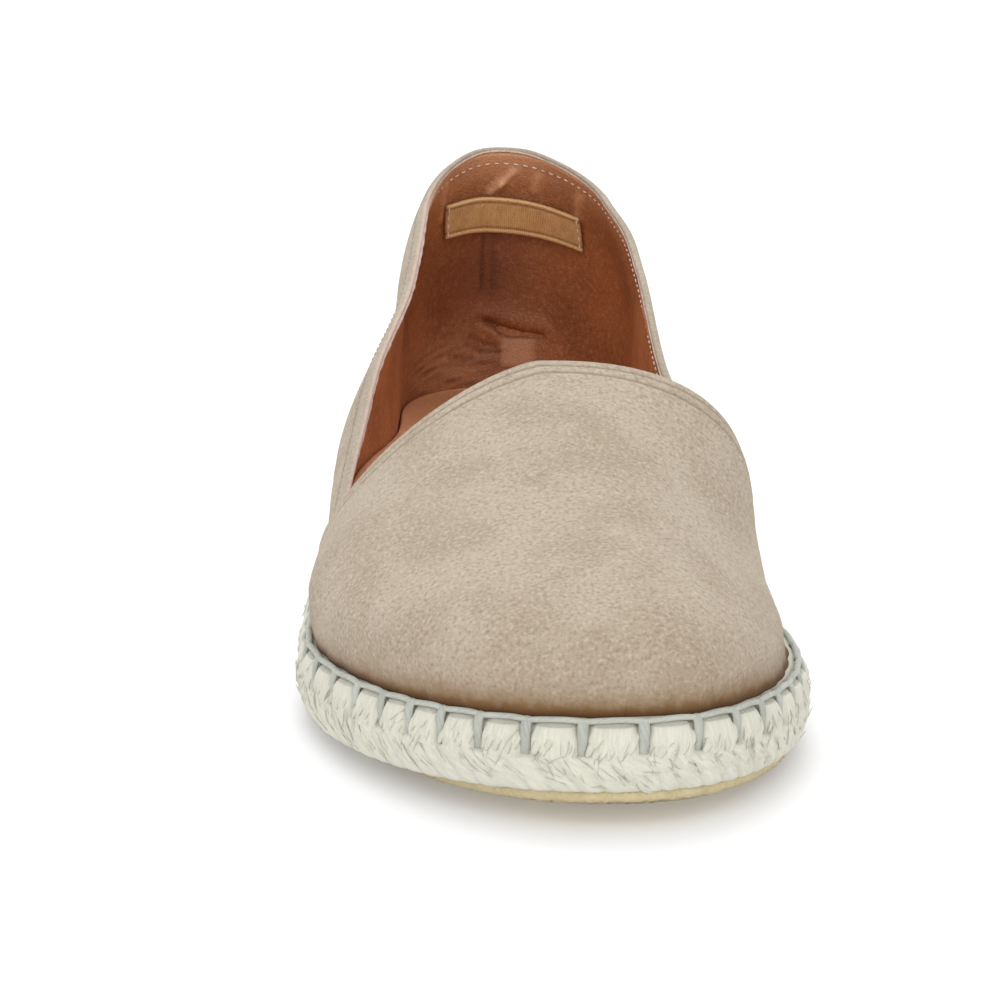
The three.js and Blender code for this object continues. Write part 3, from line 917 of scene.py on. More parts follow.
def tape_finish():
    material, tree, shader, at = start(
        "woven_tape", 0.85, Sheen_Weight=0.15, Sheen_Roughness=0.4, Specular_IOR_Level=0.3
    )
    weave = tree.nodes.new("ShaderNodeUVMap").outputs[0]
    parts = add(tree, "ShaderNodeSeparateXYZ", Vector=weave)
    ribs = maths(tree, "SINE", maths(tree, "MULTIPLY", parts.outputs[0], 2 * math.pi / WARP_PITCH))
    picks = maths(tree, "SINE", maths(tree, "MULTIPLY", parts.outputs[1], 2 * math.pi / WEFT_PITCH))
    cloth = maths(tree, "MULTIPLY_ADD", maths(tree, "MULTIPLY", ribs, picks), 0.5, ribs)
    body = use(
        tree, PATCHY, Vector=at, Base=paint(216, 168, 110), Pale=paint(236, 198, 142),
        Dark=paint(180, 134, 82), Patch_Size=2.4, Patch_Share=0.5,
        Fleck_Size=0.35, Fleck_Share=0.5,
    )
    shade = spread(tree, cloth, -1.4, 0.2)
    between = maths(tree, "MULTIPLY", maths(tree, "SUBTRACT", 1.0, shade), 0.5)
    woven = blend_colours(tree, between, body["Color"], paint(176, 128, 78))
    edge = blend_colours(tree, mark(tree, "selvedge"), woven, paint(240, 200, 142))
    # Painted shade in the channel beside each selvedge.
    groove = blend_colours(tree, mark(tree, "groove"), edge, paint(140, 98, 56))
    tree.links.new(groove, shader.inputs["Base Color"])
    relief(tree, shader, cloth, 0.09, 0.8)
    return material


woven_tape = tape_finish()


# %% Crepe rubber
def crepe_finish():
    material, tree, shader, at = start("crepe_rubber", 0.7, Specular_IOR_Level=0.35)
    body = use(
        tree, PATCHY, Vector=at, Base=paint(210, 197, 157), Pale=paint(228, 217, 182),
        Dark=paint(190, 172, 126), Patch_Size=5.0, Patch_Share=0.5,
        Fleck_Size=0.8, Fleck_Share=0.4,
    )
    # Darker towards the lower edge and the underside.
    lower_edge_darker = use(
        tree, SOIL_AND_SHADE, Vector=at, Color=body["Color"], Soil=paint(170, 156, 128),
        Amount=mark(tree, "foot"), Break_Size=1.5,
    )
    tree.links.new(lower_edge_darker["Color"], shader.inputs["Base Color"])
    relief(tree, shader, noise(tree, at, 0.9, 4.0), 0.35, 0.8)
    return material


crepe = crepe_finish()
print("finishes:", ", ".join(sorted(m.name for m in bpy.data.materials)))

# %% [markdown]
# ## The sole
# An espadrille's sole is a plait of jute wound flat and sewn through, with a thin crepe
# rubber outsole under it. A loop round the outline carries everything: the crepe and the
# rope are closed bodies that shrink to the middle line, and the stitches, strands and loose
# fibres are placed at distances along the loop.

# %% The loop round the sole
OUTLINE_POINTS = 1500


def side_loop(count, inset):
    """Stations and sides from the heel along the lateral side to the toe and back."""
    share = (1 - np.cos(np.linspace(0, np.pi, count + 1))) / 2
    s = inset + (LENGTH - 2 * inset) * share
    side = np.where(np.arange(2 * count) <= count, -1.0, 1.0)
    return np.concatenate([s, s[-2:0:-1]]), side


def loop_points(count, inset, share=1.0, trim=None):
    """Ring drawn in by the inset and the trim, then by a share to the middle line."""
    s, side = side_loop(count, inset)
    width = half_width(s, side, inset)
    if trim is not None:
        cut = by_side(side, read(trim, "lateral", s), read(trim, "medial", s))
        width = np.maximum(width - cut, 0)
    return np.stack([middle(s) + side * share * width, LENGTH / 2 - s], -1), s


outline, outline_s = loop_points(OUTLINE_POINTS, 0.0)
outline = np.concatenate([outline, outline[:1]])
outline_s = np.append(outline_s, outline_s[0])
outline_run = lengths(outline)
GIRTH = outline_run[-1]


def around(where, out=0.0):
    """Points, directions and station at distances round the sole."""
    ring = (outline_run, outline)
    ahead, behind = (at_length(ring, (where + d) % GIRTH) for d in (1.0, -1.0))
    aim = unit(ahead - behind)
    normal = np.stack([aim[:, 1], -aim[:, 0]], -1)
    here = at_length(ring, where % GIRTH)
    s = np.interp(where % GIRTH, outline_run, outline_s)
    flat = np.zeros(len(s))
    here = here + normal * np.asarray(out)[..., None]
    return here, np.column_stack([aim, flat]), np.column_stack([normal, flat]), s


def run_of(s, side):
    """Distance round the sole of the point at a station on one side."""
    half = len(outline_s) // 2
    lateral = np.interp(s, outline_s[: half + 1], outline_run[: half + 1])
    medial = np.interp(s, outline_s[half:][::-1], outline_run[half:][::-1])
    return by_side(side, lateral, medial)


print("round the sole", round(GIRTH, 1), "mm")


# %% Where the blanket stitches come down
LEG_COUNT = 60
LEG_PHASE = 0.607
LEG_DRIFT, DRIFT_WAVES, DRIFT_START = 1.9, 7, 0.3975
LEG_WIDTH, LEG_THICK = 2.0, 1.0
leg_pitch = GIRTH / LEG_COUNT
leg_at = (np.arange(LEG_COUNT) + LEG_PHASE) * leg_pitch
leg_at = leg_at + LEG_DRIFT * np.cos(2 * np.pi * DRIFT_WAVES * (leg_at / GIRTH - DRIFT_START))
leg_gap = np.diff(np.append(leg_at, leg_at[0] + GIRTH))


def leg_phase(where):
    """Share of the way from one leg to the next, from -0.5 to 0.5."""
    marks = np.concatenate([leg_at[-1:] - GIRTH, leg_at, leg_at[:1] + GIRTH])
    k = np.searchsorted(marks, where % GIRTH, side="right") - 1
    return (where % GIRTH - marks[k]) / (marks[k + 1] - marks[k]) - 0.5


print("blanket stitches every", round(leg_pitch, 2), "mm")


# %% [markdown]
# ### Crepe outsole
# A sheet of crumbly natural rubber, cut a little inside the rope. Its cut edge is uneven
# and its underside has shallow cross ribs. A band with soft noise on the edge and a ribbed
# underside gives this; carving the ribs one by one would be slow and no better.

# %% Crepe outsole
CREPE_EDGE, CREPE_ROUND, CREPE_COLUMNS = 2.9, 0.5, 560
RIB_PITCH, RIB_DEPTH = 5.0, 0.45
RIB_FROM, RIB_SLOPE = 0.55, 0.2
RIBBED_SHARES = [*np.linspace(0, 0.86, 7), 0.9]
PLAIN_SHARE = 0.93
TOP_SHARES = (0.95, 0.6, 0.3, 0)
EDGE_RINGS = 9
CRUMBLE, CRUMBLE_FADE = 0.16, np.array([1, 0.8, 0.5])[:, None]


def crepe_ring(share, height, tuck=0.0):
    """Ring of the crepe at a share of its width, its heights given by a function."""
    flat, s = loop_points(CREPE_COLUMNS, CREPE_EDGE + tuck, share, CREPE_TRIM)
    return np.column_stack([flat, height(s)])


def ribbed(s):
    """Underside of the crepe, with its cross ribs."""
    rib = np.abs(((s / RIB_PITCH) % 1) * 2 - 1)
    return lift(s) + RIB_DEPTH * smooth((rib - RIB_FROM) / RIB_SLOPE)


def crepe_edge(turn):
    """Ring of the rounded cut edge, turn going from under the edge to over it."""
    rise = CREPE / 2 * (1 + math.sin(turn))
    return crepe_ring(1.0, lambda s: lift(s) + rise, CREPE_ROUND * (1 - math.cos(turn)))


below = [crepe_ring(share, ribbed) for share in RIBBED_SHARES] + [crepe_ring(PLAIN_SHARE, lift)]
edge = [crepe_edge(turn) for turn in np.linspace(-np.pi / 2, np.pi / 2, EDGE_RINGS)]
above = [crepe_ring(share, lambda s: lift(s) + CREPE) for share in TOP_SHARES]
rings = np.stack(below + edge + above)
plan = rings.copy()
plan[..., 2] = 0
outwards = unit(np.cross(np.roll(plan, -1, 1) - np.roll(plan, 1, 1), [0, 0, 1.0]))
edge_rows = slice(len(below), len(below) + EDGE_RINGS)
uneven = 0.22 * waves(rings[edge_rows], 2.6, 3) + 0.16 * waves(rings[edge_rows], 1.1, 4)
rings[edge_rows] += outwards[edge_rows] * uneven[..., None]
crumbled = rings[edge_rows][:len(CRUMBLE_FADE)]
crumbled[..., 2] += CRUMBLE * (1 + waves(crumbled, 2.0, 5)) * CRUMBLE_FADE
# Darker towards the lower edge and the underside of the crepe.
lower_edge_mark = np.repeat(dip(np.arange(len(rings)) - len(below), 3.0)[:, None], rings.shape[1], 1)
add_piece(
    "crepe_outsole",
    mesh_from("crepe", rings.reshape(-1, 3), grid_faces(*rings.shape[:2], loop=True),
              marks={"foot": lower_edge_mark}),
    "outsole", "outsole", crepe,
)


# %% [markdown]
# ### Rope sole
# The rope sole is jute, plaited and wound flat. From the side the plait shows two rows:
# above, soft blocks pushed out between the blanket stitches; below, slanting bundles. The
# side is one fine grid pushed in and out by a rule for each row, so the swell of a block,
# the valley beside a stitch and the slant of a bundle are real form. Modelling each ply
# as a loose solid reads as a heap of grains, so loose strands are only laid over it.

# %% Relief of the plait
ROPE_TUCK_BOTTOM, ROPE_TUCK_TOP, ROPE_ROUND = 2.4, 1.3, 0.98
ROPE_HEIGHT = 11.4
ROPE_SAG, SAG_REACH = 0.9, 0.16
SHOULDER_DROP, SHOULDER_INSET, SHOULDER_LOW = 2.3, 3.4, 0.9
BLOCK_SWELL, BLOCK_REACH, BLOCK_MIDDLE = 1.5, 0.33, 0.75
BUNDLES, BUNDLE_SWELL, BUNDLE_REACH, BUNDLE_MIDDLE = 120, 0.8, 0.36, 0.24
UPPER_LEAN, LOWER_LEAN = math.radians(62), math.radians(128)
UPPER_FROM, LOWER_TO, ROW_FADE, ROW_SINK = 0.47, 0.51, 0.1, 3
FIBRE_STRETCH = 0.14


def rope_low(s):
    """Underside of the rope, just over the crepe."""
    return lift(s) + CREPE + GAP


def rope_depth(share):
    """How far the rope's side stands inside the outline at a share of its height."""
    tuck = np.where(share < 0.5, ROPE_TUCK_BOTTOM, ROPE_TUCK_TOP)
    return tuck * (1 - np.sqrt(np.maximum(1 - (ROPE_ROUND * (2 * share - 1)) ** 2, 0)))


def rope_height(s, share):
    """Height of the side, from just over the crepe up to the sloping shoulder."""
    low = rope_low(s)
    return low + (deck(s) - SHOULDER_DROP - low) * share - ROPE_SAG * dip(share, SAG_REACH)


def dome(distance, power):
    """Cross-section of a soft cushion: 1 in the middle, 0 at the edge."""
    return np.sqrt(1 - np.clip(np.abs(distance), 0, 1) ** power)


def fibre_frame(where, share, lean):
    """Distances along and across fibres that lean from the run of the sole."""
    up = share * ROPE_HEIGHT
    along = where * np.cos(lean) + up * np.sin(lean)
    return along, where * np.sin(lean) - up * np.cos(lean)


def fibres_of(where, share, lean, seed):
    """Fine relief drawn out along the fibres."""
    along, across = fibre_frame(where % GIRTH, share, lean)
    spot = np.stack([along * FIBRE_STRETCH, across, share * 0], -1)
    return 0.08 * waves(spot, 1.1, seed) + 0.10 * waves(spot, 2.3, seed + 1)


def rope_relief(where, share):
    """Depth of the plait's surface inside the outline, in both rows."""
    where, share = np.broadcast_arrays(where, share)
    flat = at_length((outline_run, outline), (where % GIRTH).ravel())
    flat = flat.reshape(where.shape + (2,))
    spot = np.concatenate([flat, (share * ROPE_HEIGHT)[..., None]], -1)
    wander = 0.05 * waves(spot, 8, 61)
    block = 2 * leg_phase(where) / (1 - 0.8 * LEG_WIDTH / leg_pitch)
    block = block * (1 + 0.14 * smooth((share - 0.8) / 0.2))
    swell = dome(block, 3.4) * (1 + 0.12 * waves(spot, 7, 62))
    upper = BLOCK_SWELL * (swell - 1) + 0.8 * (dome((share - BLOCK_MIDDLE) / BLOCK_REACH, 3.2) - 1)
    upper = upper + fibres_of(where, share, UPPER_LEAN, 63)
    upper = upper - ROW_SINK * smooth((UPPER_FROM + wander - share) / ROW_FADE)
    slant = share * ROPE_HEIGHT / math.tan(math.pi - LOWER_LEAN)
    phase = ((where + slant) * BUNDLES / GIRTH + 0.22 * waves(spot, 9, 65)) % 1
    swell = dome(0.97 * (2 * phase - 1), 2.0) * (1 + 0.15 * waves(spot, 6, 66))
    lower = BUNDLE_SWELL * (swell - 1)
    lower = lower + 0.6 * (dome((share - BUNDLE_MIDDLE) / BUNDLE_REACH, 3.0) - 1)
    lower = lower + fibres_of(where, share, LOWER_LEAN, 67)
    lower = lower - ROW_SINK * smooth((share - LOWER_TO - wander) / ROW_FADE)
    return np.maximum(upper, lower) - rope_depth(share)


# %% Rope sole
HALF_COLUMNS, ROPE_ROWS = 860, 38
ROW_SPLIT, SPLIT_GAP = 0.49, 0.0005
END_CROWDING = 0.35
SPINE_END = 8.0
CAP_RINGS = 3
VALLEY_DEPTH, VALLEY_SHADE, HIDDEN_SHADE = 2.4, 0.6, 0.5
MAP_ALONG, MAP_ACROSS = 9, 8
toe_run = outline_run[len(outline_run) // 2]
lateral_run = np.linspace(0, toe_run, HALF_COLUMNS + 1)
stations_back = np.interp(lateral_run, outline_run, outline_s)[-2:0:-1]
columns = np.concatenate([lateral_run, run_of(stations_back, 1.0), [GIRTH]])
even = np.linspace(0, 1, ROPE_ROWS)
levels = END_CROWDING * (1 - np.cos(np.pi * even)) / 2 + (1 - END_CROWDING) * even
levels = np.sort(np.append(levels, [ROW_SPLIT - SPLIT_GAP, ROW_SPLIT + SPLIT_GAP]))
grid_share = np.repeat(levels[:, None], len(columns), 1)
relief_in = rope_relief(columns[None], grid_share)
side_rows = []
for share, depth in zip(grid_share, relief_in):
    at, aim, away, s = around(columns, depth)
    side_rows.append(np.column_stack([at, rope_height(s, share)]))
spine_s = np.clip(s, SPINE_END, LENGTH - SPINE_END)
spine = np.column_stack([middle(spine_s), LENGTH / 2 - spine_s])


def row_lean(share):
    """Lean of the fibres: one way in the blocks, the other in the bundles."""
    return np.where(share > ROW_SPLIT, UPPER_LEAN, LOWER_LEAN)


def cap(edge, share, height):
    """Ring of a flat face of the rope, drawn in to its middle line."""
    return np.column_stack([spine + (edge[:, :2] - spine) * share, height(s)])


below = [cap(side_rows[0], share, rope_low) for share in (0, 0.5, 0.9)]
at, aim, away, s = around(columns, -SHOULDER_INSET)
shoulder = np.column_stack([at, deck(s) - SHOULDER_LOW])
above = [shoulder, cap(shoulder, 0.5, deck), cap(shoulder, 0, deck)]
rope = np.stack(below + side_rows + above)
along, across = fibre_frame(columns, grid_share, row_lean(grid_share))
plait_rows = slice(CAP_RINGS, -CAP_RINGS)
rope_uv = np.zeros(rope.shape[:2] + (2,))
rope_uv[plait_rows] = np.stack([along / MAP_ALONG, across / MAP_ACROSS], -1)
# Painted shade: darker in the plait's valleys by their depth, and a flat amount on the hidden faces
# above and below.
sunk = -(relief_in + rope_depth(grid_share))
valley = np.full(rope.shape[:2], HIDDEN_SHADE)
valley[plait_rows] = np.clip(sunk / VALLEY_DEPTH, 0, 1) * VALLEY_SHADE
add_piece(
    "rope_sole",
    mesh_from("rope", rope.reshape(-1, 3), grid_faces(*rope.shape[:2]),
              rope_uv.reshape(-1, 2), {"painted_shade": valley}),
    "jute_sole", "jute_sole", jute,
)


# %% [markdown]
# ### Strands and loose fibres
# Over the blocks and bundles lie single strands, half sunk in the plait, and fine loose
# fibres that catch the light. Each is a copy of a short blunt thread, placed on the relief
# and leaning the way its row leans.

# %% Strands of the plait
STRANDS_PER_BLOCK, BLOCK_SHARE, STRAND_PITCH, STRAND_SINK = 5, 0.31, 2.2, 0.13
SIDE_TILT = 0.75
shaper = np.random.default_rng(20)
strand_shape = bead("strand_shape", rings=8, sides=6, arch=1.7, point=0.42, bow=0.08)


def rope_places(where, share, lift_off):
    """Points on the plait, the run of the sole there and the way the side faces."""
    at, aim, away, s = around(where, rope_relief(where, share) + lift_off)
    tilt = (2 * share - 1) * SIDE_TILT
    face = away * np.cos(tilt)[:, None] + np.array([0, 0, 1.0]) * np.sin(tilt)[:, None]
    return np.column_stack([at, rope_height(s, share)]), aim, face


def upper_strands():
    """Places, heights and leans of the strands on the blocks."""
    phases = np.linspace(-BLOCK_SHARE, BLOCK_SHARE, STRANDS_PER_BLOCK)
    where = (leg_at[:, None] + leg_gap[:, None] * (phases + 0.5)[None]).ravel()
    count = len(where)
    share = BLOCK_MIDDLE + shaper.normal(0, 0.045, count)
    lean = UPPER_LEAN + shaper.normal(0, 0.14, count)
    return where + shaper.normal(0, 0.4, count), share, lean


def lower_strands():
    """Places, heights and leans of the strands on the bundles."""
    count = int(GIRTH / STRAND_PITCH)
    where = np.arange(count) * GIRTH / count + shaper.normal(0, 0.4, count)
    share = BUNDLE_MIDDLE + shaper.normal(0, 0.06, count)
    return where, share, LOWER_LEAN + shaper.normal(0, 0.12, count)


for name, (where, share, lean), sizes, seed in (
    ("upper_strands", upper_strands(), (4.8, 1.5, 0.56), 31),
    ("lower_strands", lower_strands(), (6.0, 1.6, 0.56), 32),
):
    add_row(
        name, strand_shape, rope_places(where, share, -STRAND_SINK), "jute_sole", jute, sizes,
        lean=lean, Turn_Jitter=0.06, Size_Jitter=0.2, Seed=seed,
    )


# %% Loose fibres
FIBRE_COUNT = 700
hair_shape = bead("hair_shape", rings=7, sides=5, arch=0.05, point=0.3, bow=0.12)
where = shaper.uniform(0, GIRTH, FIBRE_COUNT)
share = shaper.uniform(0.06, 0.93, FIBRE_COUNT)
lean = row_lean(share) + shaper.normal(0, 0.35, FIBRE_COUNT)
fibre_row = rope_places(where, share, shaper.uniform(-0.03, 0.07, FIBRE_COUNT))
add_row(
    "loose_fibres", hair_shape, fibre_row, "jute_sole", jute, (4.6, 0.22, 0.18),
    grow=shaper.uniform(0.4, 1.2, FIBRE_COUNT), lean=lean, Turn_Jitter=0.1, Seed=33,
)


# %% [markdown]
# ### Blanket stitch
# A thick thread runs along the foot of the upper, and at each stitch a leg of it comes
# over the edge of the sole and down its side. The running thread is one closed sweep; the
# legs are copies of a bent strap.

# %% Running thread and stitch legs
THREAD_POINTS = 1200
THREAD_WIDE, THREAD_HIGH, THREAD_IN, THREAD_DROP = 1.3, 1.1, 2.35, 1.15
PULL_REACH, PULL_OUT, PULL_DOWN, PULL_THIN = 0.16, 0.2, 0.12, 0.12
SAG_SIZE, SAG_START = 0.07, 0.1
THREAD_MAP, LEG_MAP = 0.5, 0.25

thread_at = np.linspace(0, GIRTH, THREAD_POINTS, endpoint=False)
phase = leg_phase(thread_at)
pull = dip(np.minimum(np.abs(phase - 0.5), np.abs(phase + 0.5)), PULL_REACH)
sag = np.sin(2 * np.pi * (phase + SAG_START))
at, aim, away, s = around(thread_at, -THREAD_IN + PULL_OUT * pull)
line = np.column_stack([at, deck(s) - THREAD_DROP - PULL_DOWN * pull + SAG_SIZE * sag])
thread_size = THREAD_HIGH, THREAD_WIDE * (1 - PULL_THIN * pull)
points, faces, uv = sweep(line, away, *thread_size, sides=10)
uv[:, 0] *= THREAD_MAP
add_piece(
    "running_thread", mesh_from("thread", points, faces, uv), "jute_sole", "jute_sole",
    sole_thread,
)

LEG_LINE = chart(
    "z out",
    (-8.9, -2.5), (-8.5, -2.0), (-7.5, -1.6), (-5.7, -1.4), (-3.8, -1.3),
    (-2.7, -1.4), (-1.9, -1.6), (-1.35, -2.0), (-1.1, -2.6),
)
level = np.zeros(len(LEG_LINE["z"]))
leg_path = np.column_stack([level, LEG_LINE["z"], LEG_LINE["out"]])
leg_out = np.column_stack([level, np.linspace(-0.2, 1.0, len(level)),
                           np.linspace(1.0, 0.3, len(level))])
points, faces, uv = sweep(leg_path, leg_out, LEG_WIDTH, LEG_THICK, sides=8, closed=False)
uv[:, 0] *= LEG_MAP
leg_shape = item_mesh("leg_shape", points, faces, uv)
at, aim, away, s = around(leg_at)
add_row(
    "blanket_legs", leg_shape, (np.column_stack([at, deck(s)]), aim, away), "jute_sole",
    sole_thread, (1, 1, 1), Turn_Jitter=0.05, Size_Jitter=0.05, Seed=41,
)

# %% [markdown]
# ## The vamp
# The front panel is one piece of suede drawn over the last, hemmed at the throat with two
# rows of stitches and caught down at its foot by every blanket stitch. Its rows run from
# the throat edge to the toe and lie closest together at the hem, where the detail is.
# Soft troughs under the stitches and small puckers at the foot are moves of the surface
# itself, so light catches them from every side.

# %% Surface of the vamp
HEM_ROWS = (2.6, 5.5)
HEM_DEPTH, HEM_FADE, HEM_RAISE = 6.7, 0.8, 0.12
TROUGH_DEPTH, TROUGH_WIDTH, QUILT_RAISE, QUILT_WIDTH = 0.26, 0.42, 0.10, 1.2
FOOT_DROP, FOOT_DROP_FADE = 1.3, 1.4
PUCKER_DEPTH, PUCKER_WIDTH, PUCKER_FADE = 0.32, 2.0, 2.4
VAMP_COLUMNS, VAMP_ROWS, COLUMN_POWER, ROW_POWER = 211, 84, 0.92, 1.35
ROUND, THROAT_Z, THROAT_FADE = 0.75, 30.5, 5


def vamp_rows(v, offset, near, far_count):
    """Grid from the throat edge to the toe, with each row's distance from the edge."""
    first = edge_station(v, offset)
    end = LENGTH - LEDGE - offset
    share = 1 - (1 - np.linspace(0, 1, 500)[:, None]) ** 2
    dense = first + (end - first) * share
    path = over(dense, v, offset)
    run = np.cumsum(np.linalg.norm(np.diff(path, axis=0, prepend=path[:1]), axis=-1), axis=0)
    far = 1 - (1 - np.linspace(0, 1, far_count + 1)[1:, None]) ** ROW_POWER
    reach = run[-1] - near[-1]
    rows = np.concatenate([np.repeat(near[:, None], len(v), 1), near[-1] + reach * far])
    s = np.stack([np.interp(rows[:, k], run[:, k], dense[:, k]) for k in range(len(v))], -1)
    return over(s, v, offset), rows, s


def pucker(s, side, height):
    """Pull of the blanket stitches on the foot of the upper."""
    near_leg = 0.5 - np.abs(leg_phase(run_of(s, side)))
    fade = np.exp(-np.maximum(height, 0) / PUCKER_FADE)
    return PUCKER_DEPTH * dip(near_leg * leg_pitch, PUCKER_WIDTH) * fade


def drawn_in(normal, tuck, height):
    """Move of the upper's foot: level, into the shoe at each stitch, and a little down."""
    level = unit(normal * np.array([1.0, 1.0, 0.0])) * np.array([1.0, 1.0, 0.0])
    down = FOOT_DROP * dip(np.maximum(height, 0), FOOT_DROP_FADE)
    return down[..., None] * np.array([0, 0, -1.0]) - level * tuck[..., None]


# %% Vamp
TOE_SHADE_S, TOE_SHADE_RUN = 205, 40
SEAM_SHADOW_FADE, GROOVE_WIDTH, GROOVE_SHADE = 1.1, 0.34, 0.75
hem_steps = np.concatenate([np.arange(0, 1.0, 0.16), np.arange(1.0, 8.2, 0.2)])
across = np.linspace(-1, 1, VAMP_COLUMNS)
across = np.sign(across) * np.abs(across) ** COLUMN_POWER
edge_height = over(edge_station(across), across)[:, 2]
on_throat = smooth((edge_height - THROAT_Z) / THROAT_FADE)

vamp_outer, edge_run, vamp_s = vamp_rows(across, -VAMP_PROUD, hem_steps, VAMP_ROWS)
vamp_inner, _, _ = vamp_rows(across, -0.05 + 1.2 * on_throat, hem_steps, VAMP_ROWS)
vamp_side = np.broadcast_to(by_side(across, -1.0, 1.0), vamp_s.shape)
foot_height = vamp_outer[..., 2] - deck(vamp_s) - GAP

corner = ROUND * (1 - np.sqrt(1 - np.clip(1 - edge_run / ROUND, 0, 1) ** 2))
hem = HEM_RAISE * (1 - smooth((edge_run - HEM_DEPTH) / HEM_FADE))
troughs = sum(TROUGH_DEPTH * dip(edge_run - row, TROUGH_WIDTH) for row in HEM_ROWS)
quilt = QUILT_RAISE * dip(edge_run - np.mean(HEM_ROWS), QUILT_WIDTH)
uneven = 0.22 * waves(vamp_outer, 26, 11) + 0.05 * waves(vamp_outer, 6, 12)
uneven = uneven * smooth(edge_run / 8)
tuck = pucker(vamp_s, vamp_side, foot_height)
vamp_normal = normals(vamp_outer)
raise_by = hem - corner - troughs + quilt + uneven
foot_move = drawn_in(vamp_normal, tuck, foot_height)
vamp_outer = vamp_outer + vamp_normal * raise_by[..., None] + foot_move
vamp_inner = vamp_inner + normals(vamp_inner) * (corner * 0.8 * on_throat)[..., None]
vamp_inner = vamp_inner + foot_move

# The marks: soil and painted shade at the foot, most towards the toe; a painted shadow line in the
# seam with the sole; painted shade in the grooves of the hem; and the rim of the hem.
toe_low = smooth((vamp_s - TOE_SHADE_S) / TOE_SHADE_RUN)
foot_mark = np.exp(-np.maximum(foot_height - 0.6, 0) / 1.9) * (0.6 + 0.4 * toe_low)
foot_mark = foot_mark + 0.3 * toe_low * np.exp(-np.maximum(foot_height, 0) / 6)
seam_shadow_mark = 0.95 * np.exp(-((np.maximum(foot_height, 0) / SEAM_SHADOW_FADE) ** 3))
groove_shade_mark = sum(dip(edge_run - row, GROOVE_WIDTH) for row in HEM_ROWS) * GROOVE_SHADE
rim_mark = 0.3 * (1 - smooth((edge_run - 0.2) / 1.4))


def both(values):
    """Marks of a wall: the outer face's values, and none on the inner face."""
    return np.concatenate([values.ravel(), np.zeros(values.size)])


points, faces = shell(vamp_outer, vamp_inner)
add_piece(
    "vamp",
    mesh_from("vamp", points, faces, marks={
        "foot": both(np.clip(foot_mark, 0, 1)), "seam": both(seam_shadow_mark),
        "groove": both(groove_shade_mark), "rim": both(rim_mark),
    }),
    "upper", "upper", suede,
)


# %% Throat stitches
def every(path, out, pitch, rise, trim=0.0):
    """Even places along a path, a little over it, with their directions."""
    run = lengths(path)
    count = int((run[-1] - 2 * trim) / pitch)
    where = trim + (np.arange(count) + 0.5) * (run[-1] - 2 * trim) / count
    ahead, behind = (at_length((run, path), where + d) for d in (0.4, -0.4))
    face = unit(at_length((run, out), where))
    return at_length((run, path), where) + face * rise, unit(ahead - behind), face


THROAT_PITCH, STITCH_RISE = 1.75, 0.04
clear_of_foot = slice(4, -4)
stitch_shape = bead("stitch_shape", rings=7, sides=6, arch=0.28, point=0.35)
for number, row in enumerate(HEM_ROWS, 1):
    line = np.argmin(np.abs(hem_steps - row)), clear_of_foot
    add_row(
        f"throat_stitches_{number}", stitch_shape,
        every(vamp_outer[line], vamp_normal[line], THROAT_PITCH, STITCH_RISE), "upper",
        suede_thread, (1.35, 0.42, 0.34), Turn_Jitter=0.08, Size_Jitter=0.06, Seed=50 + number,
    )


# %% [markdown]
# ## The quarters and the lining
# The back of the upper is a low wall of suede round the heel, folded over at its top line,
# with a brown leather lining inside. On the outer side the raw pinkish edge of the fold
# shows, and a fine piping lies along it. Both are sheets that run round the heel, their
# rows following the height. Round the heel the columns are spaced by a rule that keeps them
# even where the outline turns.

# %% Surface of the quarters
HEEL_EASE = 0.25
UNDERLAP = 3.0


def round_heel(count, offset):
    """Spacing, stations and sides from one side seam round the heel to the other."""
    t = np.linspace(-1, 1, count)
    ease = (np.hypot(t, HEEL_EASE) - HEEL_EASE) / (np.hypot(1, HEEL_EASE) - HEEL_EASE)
    back = LEDGE + offset
    return ease, back + (SEAM_S - back) * ease, by_side(t, -1.0, 1.0)


def heel_grid(count, drops, low_rows, offset, lap):
    """Grid round the heel: rows from the foot to the top line, then `drops` below it."""
    ease, s, side = round_heel(count, offset)
    back = LEDGE + offset
    top = top_height(s)
    foot = deck(s) + GAP
    low = top - drops[0]
    share = np.linspace(0, 1, low_rows, endpoint=False)[:, None]
    z = np.concatenate([foot + (low - foot) * share, top - drops[:, None]])
    end = read(EDGE, "s", z, by="z") + lap
    s = back + (end - back) * ease
    return s, z, np.broadcast_to(side, s.shape)


# %% Quarters
RIM, RIM_RINGS = 0.78, 9
QUARTER_COLUMNS, QUARTER_ROWS = 301, 58
ROW_DROP, ROW_DEPTH, SEAM_DEPTH = 2.4, 0.2, 0.35
SUEDE_THICK, INNER_DROP = 1.1, 0.3
BACK_Y = 100
RAW_TURN, RAW_SOFT, RAW_X, RAW_FADE = 1.25, 0.4, -6, 8

rim_turn = np.linspace(0, np.pi, RIM_RINGS)
near_top = np.concatenate([np.arange(5.0, RIM, -0.25), [RIM]])
s, z, side = heel_grid(QUARTER_COLUMNS, near_top, QUARTER_ROWS, 0.0, UNDERLAP)
quarter_outer = wall(s, z, side, 0.0)
quarter_normal = normals(quarter_outer)
drop = top_height(np.minimum(s, SEAM_S)) - z
height = z - deck(s) - GAP
back_seam = dip(quarter_outer[..., 0] - middle(LEDGE), 0.55) * (quarter_outer[..., 1] > BACK_Y)
outside_row = ROW_DEPTH * dip(drop - ROW_DROP, 0.4)
uneven = 0.25 * waves(quarter_outer, 24, 14) + 0.04 * waves(quarter_outer, 5, 15)
uneven = uneven * smooth(drop / 6) * smooth((SEAM_S - s) / 12)
move = uneven - SEAM_DEPTH * back_seam - outside_row
foot_move = drawn_in(quarter_normal, pucker(s, side, height), height)
quarter_outer = quarter_outer + quarter_normal * move[..., None] + foot_move

